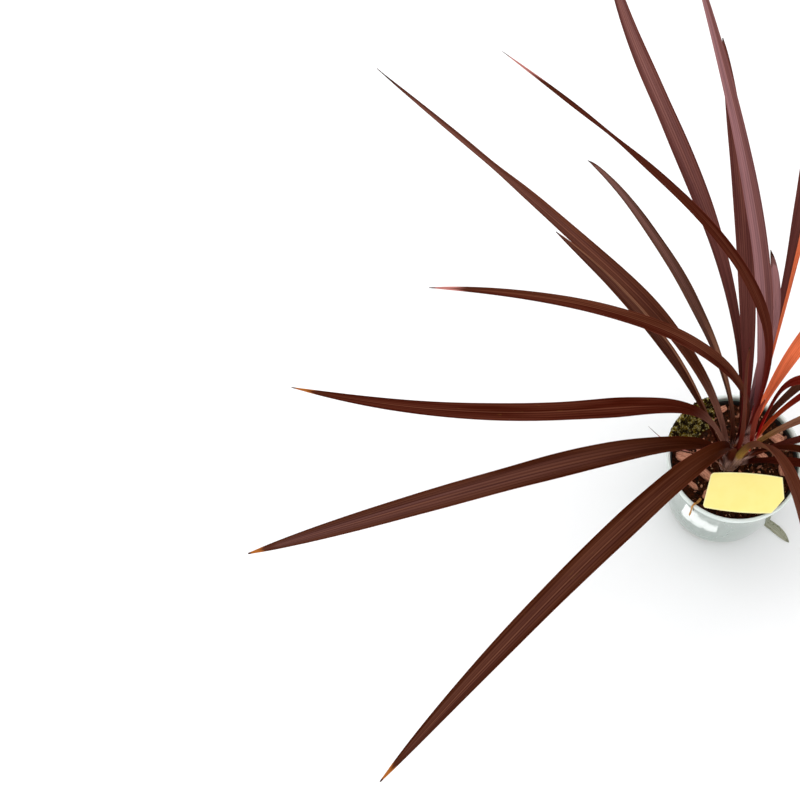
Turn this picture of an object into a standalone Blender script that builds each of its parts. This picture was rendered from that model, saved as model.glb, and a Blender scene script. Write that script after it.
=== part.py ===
"""Potted cordyline: a glazed pot filled with soil, and a short trunk with a head of long leaves.

Units are millimetres in the named values below and metres in the scene. The origin is the
centre of the pot's flat underside, +Z is up, and the photograph was taken from the -Y side.
"""
import math
import random

import bmesh
import bpy
from mathutils import Matrix, Vector

MM = 0.001
GAP = 0.3            # space left between pieces that touch
SECTORS = 56         # flats round the pot and the soil

# Pot
POT_HEIGHT = 116.0
RIM_RADIUS = 68.0
FOOT_RADIUS = 47.0
WALL = 4.0
FLOOR_THICKNESS = 7.0
FLOOR_RADIUS = 48.0           # edge of the flat floor inside
POT_SIDE = [(51.0, 3.0), (54.0, 9.0), (56.8, 20.0), (59.8, 42.0), (62.2, 66.0), (64.8, 90.0), (67.2, 108.0)]

# Soil and what stands in it
SOIL_LEVEL = 104.0
SOIL_SIDE_LEVELS = [100.0, 90.0, 66.0, 42.0, 20.0]
TRUNK_FOOT = (-5.5, -2.8)     # where the trunk stands in the soil
TRUNK_BOTTOM = 40.0
TRUNK_RADIUS = 9.0
TRUNK_CROWN = 116.0           # the trunk narrows above this height
TRUNK_TOP = 160.0             # and rounds off above this one
TRUNK_TIP = 165.0
TRUNK_NARROWING = 0.20        # share of the radius lost between the two heights
SCAR_SPACING = 2.5
SCAR_DEPTH = 0.35
CROWN_SHIFT = (12.0, 3.0)     # how far the trunk leans by the height LEAN_TOP
LEAN_TOP = 160.0

# Plant label: head on a stake
LABEL_WIDTH = 81.0            # along the lower edge, before the corner is cut
LABEL_TOP_WIDTH = 69.5
LABEL_HEIGHT = 34.5
LABEL_BULGE = 2.5             # how far the upper and lower edges stand out at the middle
LABEL_CORNER = 14.0           # the cut corner at the lower right
LABEL_SMALL_CORNER = 2.0      # the eased corners at the left
LABEL_THICKNESS = 0.9
LABEL_TILT = 30.0             # slope of the head, in degrees
LABEL_TURN = -4.0
LABEL_CENTRE = (5.9, -40.8, 127.0)
LABEL_BOW = 2.0               # how far the head's middle stands up
STAKE_WIDTH = 9.0
STAKE_THICKNESS = 1.4
STAKE_BOTTOM = 62.0

# Moss patch
MOSS_CENTRE = (-36.5, 40.0)
MOSS_LENGTH = 28.0
MOSS_BREADTH = 13.5
MOSS_ANGLE = 44.0
MOSS_HEIGHT = 7.0
MOSS_MOUNDS = 40
MOSS_SEED = 11

# Bark chips on the soil: x, y, length, breadth and turn in degrees
CHIPS = [(-46, 2, 25, 11, -20), (-51, -15, 15, 8, 75), (-27, -16, 20, 10, -42), (-29, -36, 12, 7, 60),
         (-29, 12, 16, 9, 12), (-15, -31, 14, 8, -15), (23, 24, 18, 10, 40), (44, 24, 19, 11, -30),
         (-8, 54, 12, 7, 30), (48, -9, 15, 9, 80), (29, 4, 14, 9, -50), (-42, -26, 13, 6, -42)]
CHIP_THICKNESS = 4.0
CHIP_CORNERS = 9
CHIP_LAYERS = [(1.0, 0.0), (1.04, 0.45), (0.90, 0.85), (0.62, 1.0)]     # spread and share of the thickness

# Blade profile: shares of the full width and of the length
NECK_WIDTH = 0.36             # width at the root
WIDEST_AT = 0.55
FULL_WIDTH = 1.04             # before the taper takes its share
TAPER_POWER = 6.0
TAPER_ROUNDING = 0.75
TIP_WIDTH = 0.05
ROOT_FOLD = 14.0              # angle in degrees by which each half is folded up from flat
NECK_FOLD = 40.0
BLADE_FOLD = 12.0
NECK_END = 0.08               # where the folded neck is deepest
FLAT_FROM = 0.58              # where the fold has eased to that of the blade

# Leaves. Each follows a cubic curve from the trunk: rise and bend pull it and it ends at tip.
# A point is (azimuth in degrees from +X towards +Y, reach from the crown, height above the table).
LEAF_THICKNESS = 0.9
LEAF_SEGMENTS = 16
CROWN = (6.5, -0.8)
LEAVES = [
    # name, root azimuth and height, rise, bend, tip, width, roll at the tip in degrees
    ("leaf_left_low", 193, 109, (-181.5, 31.5, 258), (-170, 250.5, 163), (-170, 497, 75), 25, -5),
    ("leaf_front_left", -136, 114, (-138.5, 5, 316), (-145, 204, 189), (-138.5, 477, 89), 26, 15),
    ("leaf_left_upper", 163, 124, (158.5, 76, 327), (188, 137, 173), (172, 450, 148), 19, 5),
    ("leaf_back_left_lower", 156, 115, (145, 66.5, 204.5), (152.5, 110, 319), (144.5, 240.5, 335), 14, 0),
    ("leaf_back_left_long", 128, 119, (122.5, 91, 270), (142, 212, 312), (139, 477, 335), 21, 55),
    ("leaf_back_left_short", 141.5, 128, (132.5, 22, 298.5), (130.5, 205, 393.5), (132, 253, 381), 14, 20),
    ("leaf_back_upright_left", 66, 129, (95, 127, 351.5), (118.5, 251.5, 406), (114, 386, 478), 17, 40),
    ("leaf_back_broad", 111.5, 136.5, (109, 16.5, 256.5), (104.5, 147.5, 425.5), (104, 252, 496), 18, 0),
    ("leaf_left_arching", 155, 149, (52.5, 26.5, 242.5), (157.5, 81.5, 432), (162.5, 327, 302), 13, -5),
    ("leaf_back_folded", 56.5, 158.5, (89, 50.5, 248), (99.5, 11, 449), (107.5, 319, 555), 17, 0),
    ("leaf_back_left_thin", 97.5, 157, (90, 18.5, 379.5), (95.5, 18, 499.5), (138.5, 336, 510), 10, -15),
    ("leaf_inner_tip", 92.5, 150.5, (99, 43, 241.5), (76.5, 60.5, 319.5), (92.5, 111, 356), 12, 0),
    ("leaf_back_right_bright", 58.5, 145.5, (78, 179.5, 446), (87, 166, 448), (78.5, 232, 478), 19, 0),
    ("leaf_right_orange", 50.5, 141.5, (72, 64, 188), (55.5, 80.5, 343), (48, 190, 355), 15, 0),
    ("leaf_right_red_arch", -1, 146, (62.5, 81.5, 253), (13.5, 12.5, 293), (6, 250, 150), 11, 0),
    ("leaf_right_olive", 48.5, 136, (56.5, 67, 201), (38, 216, 248.5), (28, 375, 195), 15, 0),
    ("leaf_right_dark_red", -5, 128, (59, 50, 224), (28, 205, 236.5), (17, 380, 140), 17, 0),
    ("leaf_right_tan", 31, 123, (24.5, 73.5, 215), (15, 204, 216), (5, 385, 100), 16, 0),
    ("leaf_right_pink", -4, 120, (5.5, 82, 208), (6, 213, 202), (-6, 400, 70), 18, 0),
    ("leaf_right_low", -15, 113, (-11.5, 52, 171), (-16.5, 208, 170), (-18, 390, 40), 18, 0),
    ("leaf_front_right", -102, 124.5, (-77, 7.5, 308.5), (-57.5, 107.5, 221), (-77, 318, 59), 25, 0),
    ("leaf_inner_red", -75, 154, (-89.5, 9, 189), (43.5, -18.5, 244), (75, 12, 245), 6, 0),
    ("leaf_inner_front", -176.5, 140.5, (-111, 33.5, 227.5), (166, 32.5, 314.5), (137.5, 35, 338.5), 15, 0),
    ("leaf_left_small", 237, 109, (191, 50, 189), (182, 50, 96), (164, 97, 134), 5, 0),
    ("leaf_right_front", -53, 134.5, (-17, 38.5, 257.5), (-33.5, 190.5, 272.5), (-36, 400, 150), 22, 0),
]

# Dry blade that lies on the soil and hangs over the rim
DRY_AZIMUTH = -131.0
DRY_WIDTH = 2.4
DRY_THICKNESS = 1.0
DRY_START = 53.0              # reach of its inner end
DRY_OUTSIDE = 26.0            # how far it hangs down outside

# Withered leaf tip on the table: azimuth in degrees and reach of its two ends
WITHERED_START = (-30.5, 49.7)
WITHERED_END = (-35.9, 87.0)
WITHERED_WIDTH = 12.0
WITHERED_THICKNESS = 0.9
WITHERED_BOW = 2.0            # how far its middle line bows to one side
WITHERED_RIDGE = 0.5          # how far its middle line stands up


def clear_scene():
    for obj in list(bpy.data.objects):
        bpy.data.objects.remove(obj, do_unlink=True)


def material(name, colour, roughness, metallic=0.0):
    """A plain Principled material with the part's own colour."""
    mat = bpy.data.materials.new(name)
    mat.use_nodes = True
    shader = mat.node_tree.nodes["Principled BSDF"]
    shader.inputs["Base Color"].default_value = (*colour, 1.0)
    shader.inputs["Roughness"].default_value = roughness
    shader.inputs["Metallic"].default_value = metallic
    return mat


def add_mesh(name, verts, faces, mat, smooth=True):
    """Make one closed object from points in millimetres."""
    mesh = bpy.data.meshes.new(name)
    mesh.from_pydata([Vector(v) * MM for v in verts], [], faces)
    bm = bmesh.new()
    bm.from_mesh(mesh)
    bmesh.ops.recalc_face_normals(bm, faces=bm.faces)
    bm.to_mesh(mesh)
    bm.free()
    obj = bpy.data.objects.new(name, mesh)
    bpy.context.collection.objects.link(obj)
    mesh.materials.append(mat)
    if smooth:
        mesh.shade_smooth()
        mesh.set_sharp_from_angle(angle=math.radians(40))
    return obj


def lathe_faces(rings, sectors):
    """Quads between rings of points, with a fan at each end, whose points follow the rings."""
    faces = []
    for ring in range(rings - 1):
        for k in range(sectors):
            nxt = (k + 1) % sectors
            faces.append((ring * sectors + k, ring * sectors + nxt,
                          (ring + 1) * sectors + nxt, (ring + 1) * sectors + k))
    first = rings * sectors
    last = first + 1
    for k in range(sectors):
        nxt = (k + 1) % sectors
        faces.append((first, nxt, k))
        faces.append((last, (rings - 1) * sectors + k, (rings - 1) * sectors + nxt))
    return faces


def circle(centre, radius, sectors):
    """Points of one level ring, as (x, y) pairs."""
    return [(centre[0] + radius * math.cos(math.tau * k / sectors),
             centre[1] + radius * math.sin(math.tau * k / sectors)) for k in range(sectors)]


def rim_arc(steps=7):
    """The rounded lip, from its outer side over the top to its inner side."""
    bead = WALL / 2
    centre = (RIM_RADIUS - bead, POT_HEIGHT - bead)
    angles = [math.pi * i / (steps - 1) for i in range(steps)]
    return [(centre[0] + bead * math.cos(a), centre[1] + bead * math.sin(a)) for a in angles]


def inner_side():
    """The pot's inner wall from under the lip down to the floor's edge."""
    side = [(r - WALL, z) for r, z in reversed(POT_SIDE) if z > 2 * FLOOR_THICKNESS]
    return side + [(FLOOR_RADIUS, FLOOR_THICKNESS)]


def inner_radius(height):
    """Radius of the pot's inner wall at a height."""
    side = [(RIM_RADIUS - WALL, POT_HEIGHT)] + inner_side()
    for (r1, z1), (r0, z0) in zip(side, side[1:]):
        if z0 <= height <= z1:
            return r0 + (r1 - r0) * (height - z0) / (z1 - z0)
    return side[-1][0]


def build_pot():
    profile = [(FOOT_RADIUS, 0.0)] + POT_SIDE + rim_arc() + inner_side()
    verts = []
    for radius, height in profile:
        verts += [(x, y, height) for x, y in circle((0, 0), radius, SECTORS)]
    verts += [(0, 0, 0), (0, 0, FLOOR_THICKNESS)]
    glaze = material("pale_glaze", (0.50, 0.56, 0.52), 0.12)
    return add_mesh("pot", verts, lathe_faces(len(profile), SECTORS), glaze)


def ground(x, y):
    """Height of the soil's surface, uneven in slow swells."""
    swell = 0.9 * math.sin(0.13 * x + 1.3) * math.cos(0.11 * y)
    ripple = 0.5 * math.sin(0.21 * x - 0.17 * y + 0.6)
    return SOIL_LEVEL + swell + ripple


def build_soil():
    """Soil up to near the rim, with a plain hole for the trunk and a slot for the label's stake."""
    hole_radius = TRUNK_RADIUS + GAP
    surface_rings = 9
    outer = inner_radius(SOIL_LEVEL) - 2 * GAP
    verts = [(x, y, TRUNK_BOTTOM) for x, y in circle(TRUNK_FOOT, hole_radius, SECTORS)]
    for i in range(surface_rings + 1):
        share = i / surface_rings
        centre = (TRUNK_FOOT[0] * (1 - share), TRUNK_FOOT[1] * (1 - share))
        radius = hole_radius + (outer - hole_radius) * share
        verts += [(x, y, ground(x, y)) for x, y in circle(centre, radius, SECTORS)]
    for height in SOIL_SIDE_LEVELS:
        verts += [(x, y, height) for x, y in circle((0, 0), inner_radius(height) - GAP, SECTORS)]
    low = FLOOR_THICKNESS + GAP
    verts += [(x, y, low) for x, y in circle((0, 0), FLOOR_RADIUS - 2 * GAP, SECTORS)]
    verts += [(*TRUNK_FOOT, TRUNK_BOTTOM), (0, 0, low)]
    count = 1 + (surface_rings + 1) + len(SOIL_SIDE_LEVELS) + 1
    earth = material("damp_soil", (0.035, 0.022, 0.014), 0.95)
    soil = add_mesh("soil", verts, lathe_faces(count, SECTORS), earth, smooth=False)
    cutter = stake_solid("stake_hole", GAP)
    cutter.hide_render = True
    cutter.display_type = "WIRE"
    cut = soil.modifiers.new("stake hole", "BOOLEAN")
    cut.operation = "DIFFERENCE"
    cut.object = cutter
    return soil


def trunk_centre(height):
    """Middle of the trunk at a height: it stands upright in the soil and leans above it."""
    share = max(0.0, (height - SOIL_LEVEL) / (LEAN_TOP - SOIL_LEVEL))
    return (TRUNK_FOOT[0] + CROWN_SHIFT[0] * share, TRUNK_FOOT[1] + CROWN_SHIFT[1] * share)


def trunk_radius(height):
    """The trunk is even below the leaves, narrows through the crown and rounds off at its tip."""
    share = max(0.0, (height - TRUNK_CROWN) / (TRUNK_TOP - TRUNK_CROWN))
    rounding = max(0.0, (height - TRUNK_TOP) / (TRUNK_TIP - TRUNK_TOP))
    return TRUNK_RADIUS * (1 - TRUNK_NARROWING * share) * math.sqrt(1 - 0.85 * rounding ** 2)


def build_trunk():
    """Trunk with the shallow rings that fallen leaves leave behind."""
    sectors = 20
    first_scar = SOIL_LEVEL - 4.0
    scars = int((TRUNK_TOP - first_scar) / SCAR_SPACING) + 1
    buried = [TRUNK_BOTTOM + GAP, 70.0, first_scar - 2.0]
    ringed = [first_scar + SCAR_SPACING * i for i in range(scars)]
    rounded = [TRUNK_TOP + (TRUNK_TIP - TRUNK_TOP) * share for share in (0.4, 0.75, 1.0)]
    verts = []
    heights = buried + ringed + rounded
    for i, height in enumerate(heights):
        scar = SCAR_DEPTH if height in ringed and i % 2 else 0.0
        radius = trunk_radius(height) - scar
        verts += [(x, y, height) for x, y in circle(trunk_centre(height), radius, sectors)]
    verts += [(*trunk_centre(heights[0]), heights[0]), (*trunk_centre(TRUNK_TIP), TRUNK_TIP + 0.5)]
    bark = material("trunk_bark", (0.30, 0.20, 0.16), 0.85)
    return add_mesh("trunk", verts, lathe_faces(len(heights), sectors), bark)


def build_moss():
    """Moss cushion: many small mounds on a patch that follows the soil."""
    rng = random.Random(MOSS_SEED)
    sectors = 30
    rings = 8
    clearance = 2 * GAP
    turn = math.radians(MOSS_ANGLE)
    edge = inner_radius(SOIL_LEVEL) - 5 * GAP
    mounds = [(rng.uniform(-1, 1) * MOSS_LENGTH, rng.uniform(-1, 1) * MOSS_BREADTH, rng.uniform(2.5, 5.0))
              for _ in range(MOSS_MOUNDS)]

    def place(share, angle):
        ragged = 1 + 0.10 * math.sin(5 * angle + 0.7) + 0.07 * math.sin(9 * angle)
        u = MOSS_LENGTH * share * ragged * math.cos(angle)
        v = MOSS_BREADTH * share * ragged * math.sin(angle)
        x = MOSS_CENTRE[0] + u * math.cos(turn) - v * math.sin(turn)
        y = MOSS_CENTRE[1] + u * math.sin(turn) + v * math.cos(turn)
        reach = math.hypot(x, y)
        if reach > edge:
            x, y = x * edge / reach, y * edge / reach
        lumps = [size * 0.45 * (1 - ((u - mu) ** 2 + (v - mv) ** 2) / size ** 2) for mu, mv, size in mounds]
        return x, y, max(0.0, *lumps)

    verts = []
    for i in range(rings):
        share = (i + 1) / rings
        for k in range(sectors):
            x, y, _ = place(share, math.tau * k / sectors)
            verts.append((x, y, ground(x, y) + clearance))
    edge_height = 0.9
    swell = MOSS_HEIGHT * 0.45
    for i in reversed(range(rings)):
        share = (i + 1) / rings
        for k in range(sectors):
            x, y, lump = place(share * 0.985, math.tau * k / sectors)
            crown = edge_height + swell * (1 - share ** 3)
            verts.append((x, y, ground(x, y) + clearance + crown + lump * (1 - 0.5 * share ** 4)))
    x, y, lump = place(0.0, 0.0)
    low = ground(x, y) + clearance
    verts += [(x, y, low), (x, y, low + edge_height + swell + lump)]
    moss = material("moss", (0.33, 0.35, 0.10), 0.95)
    return add_mesh("moss", verts, lathe_faces(2 * rings, sectors), moss, smooth=False)


def build_chip(number, x, y, length, breadth, turn):
    """A split piece of bark: a rough slab with chipped ends that lies on the soil."""
    rng = random.Random(100 + number)
    angle = math.radians(turn)
    outline = []
    for k in range(CHIP_CORNERS):
        a = math.tau * k / CHIP_CORNERS
        reach = rng.uniform(0.82, 1.08)
        u = length / 2 * reach * math.copysign(abs(math.cos(a)) ** 0.7, math.cos(a))
        v = breadth / 2 * reach * math.copysign(abs(math.sin(a)) ** 0.7, math.sin(a))
        outline.append((x + u * math.cos(angle) - v * math.sin(angle),
                        y + u * math.sin(angle) + v * math.cos(angle)))
    slope = (rng.uniform(-0.10, 0.10), rng.uniform(-0.10, 0.10))

    def slab(px, py):
        return slope[0] * (px - x) + slope[1] * (py - y)

    inside = [(x + (px - x) * s, y + (py - y) * s) for px, py in outline for s in (0.0, 0.35, 0.7, 1.0)]
    base = max(ground(px, py) - slab(px, py) for px, py in inside) + GAP
    verts = []
    for spread, share in CHIP_LAYERS:
        for px, py in outline:
            qx, qy = x + (px - x) * spread, y + (py - y) * spread
            rough = rng.uniform(-0.35, 0.35) if share > 0.5 else 0.0
            verts.append((qx, qy, base + slab(qx, qy) + CHIP_THICKNESS * share + rough))
    verts += [(x, y, base), (x, y, base + CHIP_THICKNESS * 1.02)]
    bark = material("bark_chip", (0.34, 0.19, 0.13), 0.9)
    name = "bark_chip_%02d" % (number + 1)
    return add_mesh(name, verts, lathe_faces(len(CHIP_LAYERS), CHIP_CORNERS), bark, smooth=False)


def stake_solid(name, grow):
    """The label's stake up to the middle of the head, or its slot in the soil when grown by a gap."""
    half = (STAKE_WIDTH / 2 + grow, STAKE_THICKNESS / 2 + grow)
    top = LABEL_CENTRE[2] + (LABEL_BOW + LABEL_THICKNESS / 2) / math.cos(math.radians(LABEL_TILT))
    bottom = STAKE_BOTTOM - grow
    turn = math.radians(LABEL_TURN)
    verts = []
    for height in (bottom, top):
        for u, v in ((-half[0], -half[1]), (half[0], -half[1]), (half[0], half[1]), (-half[0], half[1])):
            verts.append((LABEL_CENTRE[0] + u * math.cos(turn) - v * math.sin(turn),
                          LABEL_CENTRE[1] + u * math.sin(turn) + v * math.cos(turn), height))
    faces = [(3, 2, 1, 0), (4, 5, 6, 7)]
    faces += [(k, (k + 1) % 4, 4 + (k + 1) % 4, 4 + k) for k in range(4)]
    return add_mesh(name, verts, faces, material(name, (0.9, 0.85, 0.5), 0.5), smooth=False)


def label_half_width(v):
    """Half of the head's width at a distance v above its middle line."""
    return (LABEL_TOP_WIDTH + (LABEL_WIDTH - LABEL_TOP_WIDTH) * (0.5 - v / LABEL_HEIGHT)) / 2


def label_column(share):
    """Lower and upper end of one column of the head: share runs from -1 at its left to 1."""
    bulge = LABEL_BULGE * (1 - share ** 2)
    reach = share * LABEL_WIDTH / 2
    cut = max(0.0, reach - LABEL_WIDTH / 2 + LABEL_CORNER)
    eased = max(0.0, LABEL_SMALL_CORNER - (reach + LABEL_WIDTH / 2))
    low = -LABEL_HEIGHT / 2 - bulge + cut + eased
    high = LABEL_HEIGHT / 2 + bulge - eased
    return (share * label_half_width(low), low), (share * label_half_width(high), high)


def build_label():
    """Bare plant label: a bowed card head, joined to a stake that stands in the soil."""
    columns = 20
    place = (Matrix.Translation(LABEL_CENTRE) @ Matrix.Rotation(math.radians(LABEL_TURN), 4, "Z")
             @ Matrix.Rotation(math.radians(LABEL_TILT), 4, "X"))
    verts = []
    for i in range(columns + 1):
        share = -1 + 2 * i / columns
        low, high = label_column(share)
        bow = LABEL_BOW * math.cos(math.pi / 2 * share)
        for (u, v), side in ((low, 0), (high, 0), (high, 1), (low, 1)):
            verts.append(place @ Vector((u, v, bow + LABEL_THICKNESS * side)))
    faces = [(0, 1, 2, 3), tuple(4 * columns + k for k in (3, 2, 1, 0))]
    for i in range(columns):
        for k in range(4):
            nxt = (k + 1) % 4
            a, b = 4 * i + k, 4 * i + nxt
            faces.append((a, b, b + 4))
            faces.append((a, b + 4, a + 4))
    card = material("label_card", (0.93, 0.85, 0.42), 0.55)
    label = add_mesh("label", verts, faces, card, smooth=False)
    stake = stake_solid("stake", 0.0)
    join = label.modifiers.new("stake", "BOOLEAN")
    join.operation = "UNION"
    join.object = stake
    apply_modifiers(label)
    bpy.data.objects.remove(stake, do_unlink=True)
    return label


def apply_modifiers(obj):
    """Replace the object's mesh with its evaluated one."""
    graph = bpy.context.evaluated_depsgraph_get()
    mesh = bpy.data.meshes.new_from_object(obj.evaluated_get(graph))
    obj.modifiers.clear()
    obj.data = mesh


def from_crown(point):
    """Turn (azimuth, reach, height) into x, y and z."""
    azimuth = math.radians(point[0])
    x = CROWN[0] + point[1] * math.cos(azimuth)
    y = CROWN[1] + point[1] * math.sin(azimuth)
    return Vector((x, y, point[2]))


def cubic(points, t):
    """Point and direction of a cubic curve."""
    a, b, c, d = points
    u = 1 - t
    place = a * u ** 3 + b * (3 * u * u * t) + c * (3 * u * t * t) + d * t ** 3
    along = (b - a) * (3 * u * u) + (c - b) * (6 * u * t) + (d - c) * (3 * t * t)
    return place, along.normalized()


def smoothstep(value):
    value = min(1.0, max(0.0, value))
    return value * value * (3 - 2 * value)


def blade_width(t):
    """Share of the full width: a narrow neck, the widest part past the middle, a long taper."""
    swell = NECK_WIDTH + (FULL_WIDTH - NECK_WIDTH) * smoothstep(t / WIDEST_AT)
    return max(TIP_WIDTH, swell * (1 - t ** TAPER_POWER) ** TAPER_ROUNDING)


def blade_fold(t):
    """Angle in degrees by which each half of the blade is folded up from flat."""
    deepening = (NECK_FOLD - ROOT_FOLD) * smoothstep(t / NECK_END)
    easing = (NECK_FOLD - BLADE_FOLD) * smoothstep((t - NECK_END) / (FLAT_FROM - NECK_END))
    return ROOT_FOLD + deepening - easing


def blade_body(t):
    """Thickness along the blade, which is half as thick again at its root."""
    return LEAF_THICKNESS * (1.5 - 0.5 * smoothstep(t / 0.3))


def blade_solid(name, points, side, width, roll, mat):
    """A blade with a V section swept along a curve, in triangles that match on both faces."""
    segments = LEAF_SEGMENTS
    verts = []
    last = None
    for i in range(segments + 1):
        t = i / segments
        place, along = cubic(points, t)
        if last is not None:
            side = last.rotation_difference(along) @ side
        last = along
        across = (side - along * side.dot(along)).normalized()
        across = Matrix.Rotation(math.radians(roll * smoothstep(t)), 3, along) @ across
        up = along.cross(across)
        half = width / 2 * blade_width(t)
        fold = math.radians(blade_fold(t))
        body = blade_body(t)
        for shift, level in ((1, 1), (0, 1), (-1, 1), (-1, -1), (0, -1), (1, -1)):
            lift = half * math.sin(fold) * (abs(shift) - 0.5)
            offset = across * (half * math.cos(fold) * shift) + up * lift
            verts.append(place + offset + up * (body / 2 * level))
    faces = [(0, 5, 4, 1), (1, 4, 3, 2)]
    end = 6 * segments
    faces += [(end, end + 1, end + 4, end + 5), (end + 1, end + 2, end + 3, end + 4)]
    for i in range(segments):
        for k in range(6):
            nxt = (k + 1) % 6
            a, b = 6 * i + k, 6 * i + nxt
            if k < 3:
                faces += [(a, b, b + 6), (a, b + 6, a + 6)]
            else:
                faces += [(a, b, a + 6), (b, b + 6, a + 6)]
    return add_mesh(name, verts, faces, mat)


def root_offset(root_height, width):
    """Distance of a leaf's root from the trunk's middle, where its folded neck just clears the bark."""
    radius = trunk_radius(root_height)
    half = width / 2 * blade_width(0.0)
    fold = math.radians(blade_fold(0.0))
    edge = half * math.sin(fold) - (half * math.cos(fold)) ** 2 / (2 * radius)
    neck = blade_body(0.0) / 2 - half * math.sin(fold) / 2
    return radius + GAP + neck + max(0.0, edge)


def leaf_points(root_azimuth, root_height, rise, bend, tip, width):
    """Control points of a leaf, whose root stands on the side of the trunk."""
    azimuth = math.radians(root_azimuth)
    centre = trunk_centre(root_height)
    out = root_offset(root_height, width)
    root = Vector((centre[0] + out * math.cos(azimuth), centre[1] + out * math.sin(azimuth), root_height))
    return [root, from_crown(rise), from_crown(bend), from_crown(tip)]


def build_leaves():
    for index, (name, root_azimuth, root_height, rise, bend, tip, width, roll) in enumerate(LEAVES):
        warmth = (index * 5 % 7) / 7
        burgundy = material(name, (0.10 + 0.08 * warmth, 0.03 + 0.02 * warmth, 0.025), 0.42)
        azimuth = math.radians(root_azimuth)
        side = Vector((-math.sin(azimuth), math.cos(azimuth), 0))
        points = leaf_points(root_azimuth, root_height, rise, bend, tip, width)
        blade_solid(name, points, side, width, roll, burgundy)


def around(azimuth, reach, height):
    """Point at an azimuth in degrees and a reach from the pot's axis."""
    angle = math.radians(azimuth)
    return Vector((reach * math.cos(angle), reach * math.sin(angle), height))


def dry_route():
    """Reach and height along the dry blade: off the soil, over the lip and down outside."""
    off = GAP + DRY_THICKNESS / 2
    lip = (RIM_RADIUS - WALL / 2, POT_HEIGHT - WALL / 2)
    bend = WALL / 2 + off
    turns = 6
    drops = 4
    slack = 0.04
    route = [(DRY_START, SOIL_LEVEL + 1.8 + off), (DRY_START + 5.5, 108.5), (lip[0] - 3.8, 112.8)]
    for i in range(turns):
        a = math.radians(150 * (1 - i / (turns - 1)))
        route.append((lip[0] + bend * math.cos(a), lip[1] + bend * math.sin(a)))
    for i in range(1, drops + 1):
        drop = DRY_OUTSIDE * i / drops
        route.append((RIM_RADIUS + off - slack * drop, lip[1] - drop))
    return route


def build_dry_blade():
    """A thin dead blade with a square section, swept along its route."""
    route = dry_route()
    across = around(DRY_AZIMUTH + 90, 1, 0)
    verts = []
    for i, (reach, height) in enumerate(route):
        before = Vector(route[max(0, i - 1)])
        after = Vector(route[min(len(route) - 1, i + 1)])
        along = (after - before).normalized()
        out = around(DRY_AZIMUTH, -along.y, along.x)
        place = around(DRY_AZIMUTH, reach, height)
        half = DRY_WIDTH / 2 * (1 - 0.6 * i / len(route))
        for u, v in ((-half, -0.5), (half, -0.5), (half, 0.5), (-half, 0.5)):
            verts.append(place + across * u + out * (v * DRY_THICKNESS))
    faces = [(0, 1, 2, 3), tuple(4 * (len(route) - 1) + k for k in (3, 2, 1, 0))]
    for i in range(len(route) - 1):
        faces += [(4 * i + k, 4 * i + (k + 1) % 4, 4 * i + 4 + (k + 1) % 4, 4 * i + 4 + k) for k in range(4)]
    return add_mesh("dry_blade", verts, faces, material("dry_blade", (0.62, 0.42, 0.20), 0.8))


def build_withered_leaf():
    """A faded leaf tip with a low ridge that lies flat on the table against the pot's foot."""
    start = around(*WITHERED_START, 0)
    end = around(*WITHERED_END, 0)
    along = (end - start).normalized()
    across = Vector((-along.y, along.x, 0))
    steps = 10
    verts = []
    for i in range(steps + 1):
        t = i / steps
        half = max(0.5, WITHERED_WIDTH / 2 * (0.62 + 0.5 * t) * (1 - t ** 3) ** 0.8)
        place = start.lerp(end, t) + across * (WITHERED_BOW * math.sin(math.pi * t))
        ridge = WITHERED_THICKNESS + 0.1 + WITHERED_RIDGE * math.sin(math.pi * t)
        for u, high in ((half, WITHERED_THICKNESS), (0, ridge), (-half, WITHERED_THICKNESS)):
            verts.append(place + across * u + Vector((0, 0, high)))
            verts.append(place + across * u)
    end_ring = 6 * steps
    faces = [(0, 1, 3, 2), (2, 3, 5, 4)]
    faces += [(end_ring + 2, end_ring + 3, end_ring + 1, end_ring)]
    faces += [(end_ring + 4, end_ring + 5, end_ring + 3, end_ring + 2)]
    loop = [0, 2, 4, 5, 3, 1]
    for i in range(steps):
        for k in range(6):
            a, b = 6 * i + loop[k], 6 * i + loop[(k + 1) % 6]
            faces += [(a, b, b + 6), (a, b + 6, a + 6)]
    return add_mesh("withered_leaf", verts, faces, material("withered_leaf", (0.42, 0.47, 0.36), 0.8))


def main():
    clear_scene()
    build_pot()
    build_soil()
    build_trunk()
    build_moss()
    for number, chip in enumerate(CHIPS):
        build_chip(number, *chip)
    build_label()
    build_leaves()
    build_dry_blade()
    build_withered_leaf()


main()
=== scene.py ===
"""Looks for the potted cordyline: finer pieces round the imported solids, their finishes and the stage.

Sizes are in millimetres, and add_piece() scales the points of the pieces. The stage is in metres.
The origin is the centre of the pot's flat underside, +Z is up, and the camera looks from the -Y side.
"""
import math
import random
from itertools import combinations

import bmesh
import bpy
from bpy.props import FloatProperty, FloatVectorProperty, IntProperty, PointerProperty
from mathutils import Matrix, Vector, noise

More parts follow.
